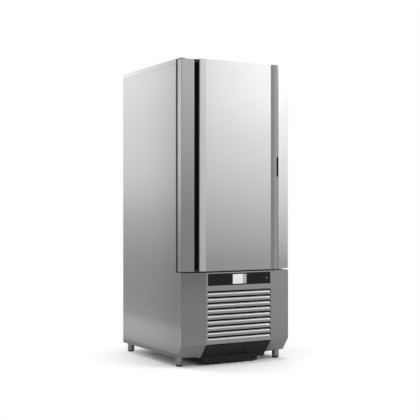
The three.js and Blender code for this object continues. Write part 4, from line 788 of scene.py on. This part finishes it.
# painted light and shade: the lip's faces and the left fold take copies of the steel at tones of their own, for how the
# light falls on them
finish_faces(skin, steel_lip,
             lambda p: abs(p.normal.z) < 0.5 and p.center.x > past_crease and p.center.y < lip_back)
finish_faces(skin, steel_fold, lambda p: abs(p.normal.z) < 0.5 and p.center.x < -past_crease)
end_plates("main_cap", [(-321.4, LINER_FRONT), (-321.4, GROOVE_Y + 0.6), (-289, GROOVE_Y + 0.6), (-289, -449),
                        (-285, -451.5), (-CREASE, -453), (CREASE, -453), (289.2, -468.6), (291.2, -463.4),
                        (256, -450), (255.2, -424), (255.2, LINER_FRONT)], DOOR_TOP, steel_main)

# the grip: a slot over the lip's rounded edge, with a black bead let into it
GRIP_LOW, GRIP_HIGH, GRIP_R, GRIP_SHIFT = 1224.0, 1356.0, 6.8, 1.6
BEAD_R, BEAD = 6.2, (291.8, -464.9)


def grip_cut():
    """Cuts the slot: its outline stands across the lip and reaches in and out of it."""
    half_turn = [math.pi * k / 10 for k in range(11)]
    outline = [(GRIP_SHIFT - GRIP_R * math.cos(g), GRIP_LOW + GRIP_R * (1 - math.sin(g))) for g in half_turn]
    outline += [(GRIP_SHIFT + GRIP_R * math.cos(g), GRIP_HIGH - GRIP_R * (1 - math.sin(g))) for g in half_turn]
    run = Vector(LIP) - Vector((CREASE, FLAT))
    out = (run + Vector((run.y, -run.x))).normalized()
    across = Vector((-out.y, out.x))
    verts = []
    for reach in (-11.0, 6.0):
        for w, z in outline:
            verts.append((*(Vector(LIP) + across * w + out * reach), z))
    n = len(outline)
    tool = placed("grip_cut", new_mesh("grip_cut", verts, caps(n, 2) + band(n, 2)))
    m = skin.modifiers.new("grip", "BOOLEAN")
    m.object = tool
    m.solver = "EXACT"
    bake(skin, 24)
    bpy.data.objects.remove(tool)


grip_cut()
bead_end = [(BEAD_R * math.sin(math.pi * k / 12), 0.3 + BEAD_R * (1 - math.cos(math.pi * k / 12))) for k in range(7)]
turned("grip_piece", [(r, GRIP_LOW + h) for r, h in bead_end] + [(r, GRIP_HIGH - h) for r, h in bead_end[::-1]],
       BEAD, "Z", black_grip_and_shade, "door", "grip_insert", 24, 40)

handle_side = rounded([(256.3, -424), (316, -424, 3), (316, front_y(316), 2.5), (DOOR_HALF, front_y(DOOR_HALF), 3.5),
                       (DOOR_HALF, LINER_FRONT)], 5)
handle_skin = prism("handle_skin", sheet_outline(handle_side), DOOR_LOW, DOOR_TOP, "Z", steel_handle, "door",
                    "door_skin_handle_side", 40)
# painted light: the wall beside the lip lies in the lip's shadow and takes a pale copy of the steel that lightens it
finish_faces(handle_skin, steel_wall_painted_light, lambda p: p.normal.x < -0.6 and 0.3 < p.center.x < 0.33)
end_plates("handle_cap", [(257, LINER_FRONT), (257, -423), (316.7, -423), (316.7, front_y(316) + 1),
                          (405, front_y(405) + 1), (405, LINER_FRONT)], DOOR_TOP, steel_handle)

# black groove profile: a channel with rolled lips, a low rib on its floor, and closed ends
gx0, gx1, gy0 = -321.7, -290.3, front_y(GROOVE_L) + SHEET
lip_y, floor_y, rib_y = gy0 - 1.0, GROOVE_Y - 2, GROOVE_Y - 4
channel = rounded([(gx0, GROOVE_Y), (gx0, lip_y, 1), (gx0 + 2.4, lip_y, 1), (gx0 + 2.4, floor_y, 3),
                   (gx0 + 10, floor_y, 1), (gx0 + 11.5, rib_y, 1.5), (gx1 - 11.5, rib_y, 1.5), (gx1 - 10, floor_y, 1),
                   (gx1 - 2.4, floor_y, 3), (gx1 - 2.4, lip_y, 1), (gx1, lip_y, 1), (gx1, GROOVE_Y)], 3, closed=True)
prism("groove_channel", channel, DOOR_LOW, STRIP_TOP, "Z", black_trim, "door", "door_groove_profile")
for end, z0, z1 in (("top", STRIP_TOP - 20, STRIP_TOP), ("low", DOOR_LOW, DOOR_LOW + 13)):
    block("groove_end_" + end, gx0 + 2, gx1 - 2, gy0, GROOVE_Y, z0, z1, black_trim, "door", None, 1.2)

# door's inside: pressed liner and a bellows gasket
prism("liner_plate", round_rect((-DOOR_HALF, DOOR_HALF, DOOR_LOW, STRIP_TOP), 2, 3), -372.5, -371.0, "Y", steel_inner,
      "door", "door_liner")
boss = [(x, y, z) for inset, y in ((0, -371.2), (1.2, -369.0), (4, -365.2), (8, -363.2), (12, -363.0))
        for x, z in round_rect((-286, 286, 735.1, 1840.4), 24, 6, -inset)]
per_loop = len(boss) // 5
piece("liner_boss", boss, band(per_loop, 5) + caps(per_loop, 5), steel_inner, "door")


def gasket():
    """A bellows section drawn round the door: base, two folds and a magnet bar."""
    section = [(0, -370.7), (1.5, -366), (5, -363.5), (1.5, -360.5), (2.5, -357), (1.2, -352), (3, -349.4),
               (19, -349.4), (20.8, -352), (19.5, -357), (20.5, -360.5), (17, -363.5), (20.5, -366), (22, -370.7)]
    verts = []
    for inset, y in section:
        radii = (3 + (22 - inset) * 0.3, 6, 6, 6)
        corners = zip(rect(-382, 382, 637, 1938.5, -inset), radii)
        verts += [(x, y, z) for x, z in rounded([(*corner, r) for corner, r in corners], 3, closed=True)]
    n = len(section)
    piece("gasket_bellows", verts, band(len(verts) // n, n, wrap=True), rubber, "door", "door_gasket", 40)


gasket()


def hinge(name, node, z0, z1, flange_low, flange_top, pin_low, pin_top):
    """A plate with a rounded nose, a flange on the frame, and the pin."""
    x0, x1, front, back = -406, -368, -412, FRAME_Y - 0.3
    nose = rounded([(x0, front, 8), (x1, front, 8), (x1, back, 1), (x0, back, 1)], 6, closed=True)
    soften(prism(name + "_plate", nose, z0, z1, "Z", black_paint, "cabinet", node), 0.7)
    block(name + "_flange", x0, x1, back - 3, back, flange_low, flange_top, black_paint, "cabinet", None, 0.7)
    turned(name + "_pin", [(0, pin_low), (6, pin_low), (7, pin_low + 1.2), (7, pin_top - 0.2), (0, pin_top)],
           PIVOT, "Z", steel_bare, "cabinet", None, 32)


hinge("upper_hinge_part", "upper_hinge", 1963.7, 1969.4, 1944.7, 1963.7, 1926.5, 1969.7)
hinge("lower_hinge_part", "lower_hinge", 603.3, 611.5, 611.5, 630.5, 603.4, 649.0)
screws("hinge_screws", [(x, -352.3, z) for x in (-398, -376) for z in (1954, 621)], "Y", -1, "cabinet", 3.2)

repaint(foam, "door_foam_core", "cabinet_insulation")

# ------------------------------------------------------------------ chamber
repaint(steel_inner, "chamber_liner", "fan_panel", "cowl_left", "cowl_right", edge=0.4)
repaint(steel_inner, "tray_rack_left", "tray_rack_right", edge=0.3)


def coil(name, node, x0, x1, y0, y1, z0, z1, pitch, material, ends):
    """Close-set fins between two end plates, with return bends at the ends."""
    plate, half_fin = 1.6, 0.25
    bend_pitch, bend_rise, tube_r = 60, 25, 4.5
    parts = [solid_box(x0, x0 + plate, y0, y1, z0, z1), solid_box(x1 - plate, x1, y0, y1, z0, z1)]
    count = int((x1 - x0 - 4) / pitch)
    for i in range(count + 1):
        x = x0 + 2 + (x1 - x0 - 4) * i / count
        parts.append(solid_box(x - half_fin, x + half_fin, y0 + 1, y1 - 1, z0 + 1, z1 - 1))
    parts.append(solid_box(x0 + 1, x1 - 1, y1 - 6, y1 - 5, z0 + 2, z1 - 2))
    merged(name, parts, material, "cabinet", node)
    bends = []
    y = (y0 + y1) / 2 - 12
    for side, x in ((-1, x0), (1, x1)):
        far = x + side * ends
        for k in range(int((z1 - z0 - bend_pitch / 2) / bend_pitch)):
            z = z0 + 25 + bend_pitch * k + (0 if side < 0 else bend_pitch / 2)
            loop = [(x, y, z), (far, y, z), (far, y, z + bend_rise), (x, y, z + bend_rise)]
            bends.append(tube_mesh(bent(loop, ends * 0.95, 5), tube_r, 10))
    merged(name + "_bends", bends, copper, "cabinet", None, 50)


# the condenser's black fins also paint the shade behind the louvre slots
coil("condenser_fins", "condenser_coil", -200, 200, -345, -285, 62.5, 462, 3.6, black_fins_and_slot_shade, 12)
coil("evaporator_fins", "evaporator_coil", -300, 300, 311.4, 405.8, 746, 1825.6, 5.0, aluminium, 13)

HUB, BLADES = 38, 5


def rotor(name, node, body, centre, y0, y1, radius, material):
    """A hub with swept, twisted blades between two heights along y."""
    turned(name + "_hub", [(HUB * 0.5, y0), (HUB * 0.9, y0 + 1), (HUB, y0 + 4), (HUB, y1 - 1), (HUB * 0.7, y1)],
           centre, "Y", material, body, node, 40)
    verts, faces = [], []
    rows, cols = 9, 8
    width_deg, narrowing, sweep, bulge, tip_round = 44, 8, 20, 1.6, 5.0
    for b in range(BLADES):
        first = len(verts)
        for i in range(rows + 1):
            t = i / rows
            r = HUB - 2 + (radius - 1 - HUB + 2) * t
            width = math.radians(width_deg - narrowing * t)
            start = 2 * math.pi * b / BLADES + math.radians(sweep) * t * t
            lift = (y1 - y0 - 5) * (1 - 0.35 * t)
            for k in range(cols + 1):
                u = k / cols
                at = r - (0.0 if i < rows else tip_round * (2 * u - 1) ** 4)
                g = start + width * (u - 0.5)
                y = (y0 + y1) / 2 + lift * (u - 0.5) + bulge * math.sin(math.pi * u)
                verts.append((centre[0] + at * math.cos(g), y, centre[1] + at * math.sin(g)))
        for i in range(rows):
            for k in range(cols):
                o = first + i * (cols + 1) + k
                faces.append((o, o + 1, o + cols + 2, o + cols + 1))
    thicken(piece(name + "_blades", verts, faces, material, body, None, 50), 1.8, 40)


for key, z in (("upper", 1565.75), ("lower", 1005.75)):
    rotor(key + "_rotor_part", "evaporator_fan_" + key, key + "_rotor", (0, z), 179.5, 201.5, 140, black_fan)
rotor("condenser_rotor_part", "condenser_fan", "condenser_rotor", (0, 262.3), -279.2, -253.2, 150, aluminium)
repaint(black_paint, "evaporator_fan_motor_upper", "evaporator_fan_motor_lower", "condenser_fan_motor",
        "condenser_shroud", edge=0.6)

# compressor: a welded can on a plate with rubber mounts
CX, CY = 190.0, 120.0
turned("compressor_can", [(90, 78.3), (104, 80.5), (109, 87), (110.5, 98), (110.5, 214), (112, 216), (112, 221),
                          (110.5, 223), (110.5, 298), (107.5, 316), (100, 334), (88, 350), (70, 363), (46, 372.5),
                          (22, 377), (0, 378.3)], (CX, CY), "Z", black_paint, "cabinet", "compressor", 72, 28)
plate = round_rect((CX, CX, CY, CY), 18, 6, 106)
soften(prism("compressor_plate", plate, 78.3, 82.3, "Z", black_paint, "cabinet"), 0.8)
for i, at in enumerate(rect(CX, CX, CY, CY, 90)):
    turned(f"compressor_mount_{i}", [(10, 62.5), (12, 63.5), (12, 67), (9.5, 68.5), (9.5, 71.5), (12, 73), (12, 77),
                                     (11, 78.3), (11, 82.5), (7, 84), (3, 86.5), (0, 86.5)],
           at, "Z", rubber, "cabinet", None, 24)
stubs = [tube_mesh([(x, y, z), (x, y, 398.2)], r, 16) for x, y, z, r in ((240, 180, 330, 9), (200, 50, 340, 7))]
merged("compressor_stubs", stubs, copper, "cabinet", None, 50)

# liquid receiver
turned("receiver_can", [(30, 62.4), (34, 63), (46, 70), (51, 78), (52, 84), (52, 296), (50.5, 303), (45, 312),
                        (34, 319), (16, 322.5), (0, 323)],
       (-60, 190), "Z", black_paint, "cabinet", "liquid_receiver", 56, 28)
ports = [tube_mesh([(x, 190, 300), (x, 190, 332.2)], 8, 16) for x in (-80, -40)]
merged("receiver_ports", ports, copper, "cabinet", None, 50)

# refrigerant pipes
ROUTES = {
    "discharge_pipe": (6, [(200, 50, 398.6), (200, 50, 483.3), (210, -315, 483.3), (210, -315, 437.6)]),
    "condensate_pipe": (6, [(-210, -315, 87), (-210, -315, 75), (-210, -293, 75), (-210, 190, 75), (-210, 190, 382.3),
                            (-80, 190, 382.3), (-80, 190, 332.6)]),
    "liquid_pipe": (6, [(-40, 190, 332.6), (-40, 190, 533), (-310, 358.6, 533), (-310, 358.6, 770.5)]),
    "suction_pipe": (8, [(310, 358.6, 770.5), (310, 358.6, 533), (240, 180, 533), (240, 180, 398.6)]),
}
for key, (radius, route) in ROUTES.items():
    merged(key + "_run", [tube_mesh(bent(route, 22), radius, 16)], copper, "cabinet", key, 50)
turned("drier_can", [(6.5, 392.3), (7, 396), (12, 401), (18, 407), (20, 415), (20, 480), (18, 488), (12, 494),
                     (7, 499), (6.5, 502.3)], (-40, 190), "Z", copper, "cabinet", None, 32)

# electrical box with its lid
block("electrical_case", -405.2, -291.5, -71.5, 191.5, 318.5, 561.5, grey_plastic, "cabinet", "electrical_box", 2.5)
block("electrical_lid", -291.5, -285.4, -68.5, 188.5, 321.5, 558.5, grey_plastic, "cabinet", None, 2.0)
screws("electrical_screws", [(-285.4, y, z) for y in (-58, 178) for z in (332, 548)], "X", 1, "cabinet", 4)

# drain pipe and cable gland
DRAIN, GLAND = (-60, -170), (-300, 390)
turned("drain_run", [(10.4, 57.6), (12, 57.6), (12, 655), (12, 666.4), (10.4, 666.4)], DRAIN, "Z", grey_plastic,
       "cabinet", "drain_pipe", 32)
turned("gland_body", [(6.4, 41), (8.6, 41), (9.8, 44.5), (10.2, 50), (10.2, 58.4), (8, 58.8), (8, 72.8), (6.4, 72.8)],
       GLAND, "Z", black_trim, "cabinet", "cable_gland", 32)
turned("gland_nut", [(8, 62.6), (11, 62.8), (11, 66.6), (8, 66.8)], GLAND, "Z", black_trim, "cabinet", None, 6)

# ------------------------------------------------------------------ studio
WHITE = (1, 1, 1, 1)
FLOOR_GAIN, FLOOR_REACH = 1.42, 30000
FADE_FROM, FADE_NEAR, FADE_FAR = (0.25, -0.1, 0), 0.6, 1.1  # in metres
WORLD_LIGHT = 0.26


def seen(t):
    """1 for what the camera, a reflection or a pane sees."""
    ray = new_node(t, "LightPath", {})
    either = maths(t, "MAXIMUM", ray["Is Camera Ray"], ray["Is Glossy Ray"])
    return maths(t, "MAXIMUM", either, ray["Is Transmission Ray"])


def mixed(t, share, first, second):
    return new_node(t, "MixShader", {0: share, 1: first, 2: second})[0]


def floor_material():
    """Seen by the camera the floor is white with the shadow on it, and plain white further out."""
    m, t, b = new_material("floor", (0.7, 0.7, 0.7), 0.9, specular=0.0)
    pale = new_node(t, "BsdfDiffuse", {"Color": (FLOOR_GAIN, FLOOR_GAIN, FLOOR_GAIN, 1)})[0]
    plain = new_node(t, "Emission", {"Color": WHITE, "Strength": 1.0})[0]
    apart = new_node(t, "VectorMath", {0: position(t), 1: FADE_FROM}, "SUBTRACT")["Vector"]
    reach = new_node(t, "VectorMath", {0: apart}, "LENGTH")["Value"]
    fade = t.nodes.new("ShaderNodeMapRange")
    fade.interpolation_type = "SMOOTHSTEP"
    wire(t, fade, {"From Min": FADE_NEAR, "From Max": FADE_FAR, "Value": reach})
    shown = mixed(t, fade.outputs["Result"], pale, plain)
    wire(t, t.nodes["Material Output"], {"Surface": mixed(t, seen(t), b.outputs[0], shown)})
    return m


def studio_world():
    """Plain white where it is seen, and a weak light from all sides."""
    world = bpy.data.worlds.new("studio")
    world.use_nodes = True
    t = world.node_tree
    ground = t.nodes["Background"]
    wire(t, ground, {"Color": WHITE, "Strength": WORLD_LIGHT})
    white = new_node(t, "Background", {"Color": WHITE, "Strength": 1.0})[0]
    wire(t, t.nodes["World Output"], {"Surface": mixed(t, seen(t), ground.outputs[0], white)})
    return world


corners = [(x, y, 0) for x, y in rect(-FLOOR_REACH, FLOOR_REACH, -FLOOR_REACH, FLOOR_REACH)]
floor = placed("floor", new_mesh("floor", corners, [(0, 1, 2, 3)]))
floor.data.materials.append(floor_material())
bpy.context.scene.world = studio_world()


def lamp(name, place, aim, side, power):
    """A square light, aimed at a point; metres and watts."""
    d = bpy.data.lights.new(name, "AREA")
    d.shape = "RECTANGLE"
    d.size = d.size_y = side
    d.energy = power
    o = placed(name, d)
    o.location = place
    o.rotation_euler = (Vector(aim) - Vector(place)).to_track_quat("-Z", "Y").to_euler()
    o.visible_camera = False


lamp("key_front", (1.5, -2.4, 2.7), (0.1, -0.45, 1.5), 1.8, 46)
lamp("key_side", (-2.4, 3.6, 2.4), (-0.4, 0.3, 1.3), 2.6, 50)
lamp("fill_top", (0.0, 0.0, 4.6), (0, 0, 0), 3.0, 70)

cam_data = bpy.data.cameras.new("camera")
cam_data.sensor_fit = "HORIZONTAL"
cam_data.sensor_width = 36.0
cam_data.lens = 79.83
cam = placed("camera", cam_data)
cam.location = (-3.1451, -5.6299, 1.0042)
cam.rotation_euler = (math.radians(90), 0, math.radians(-29.5))
bpy.context.scene.camera = cam
bpy.context.scene.view_settings.view_transform = "Standard"
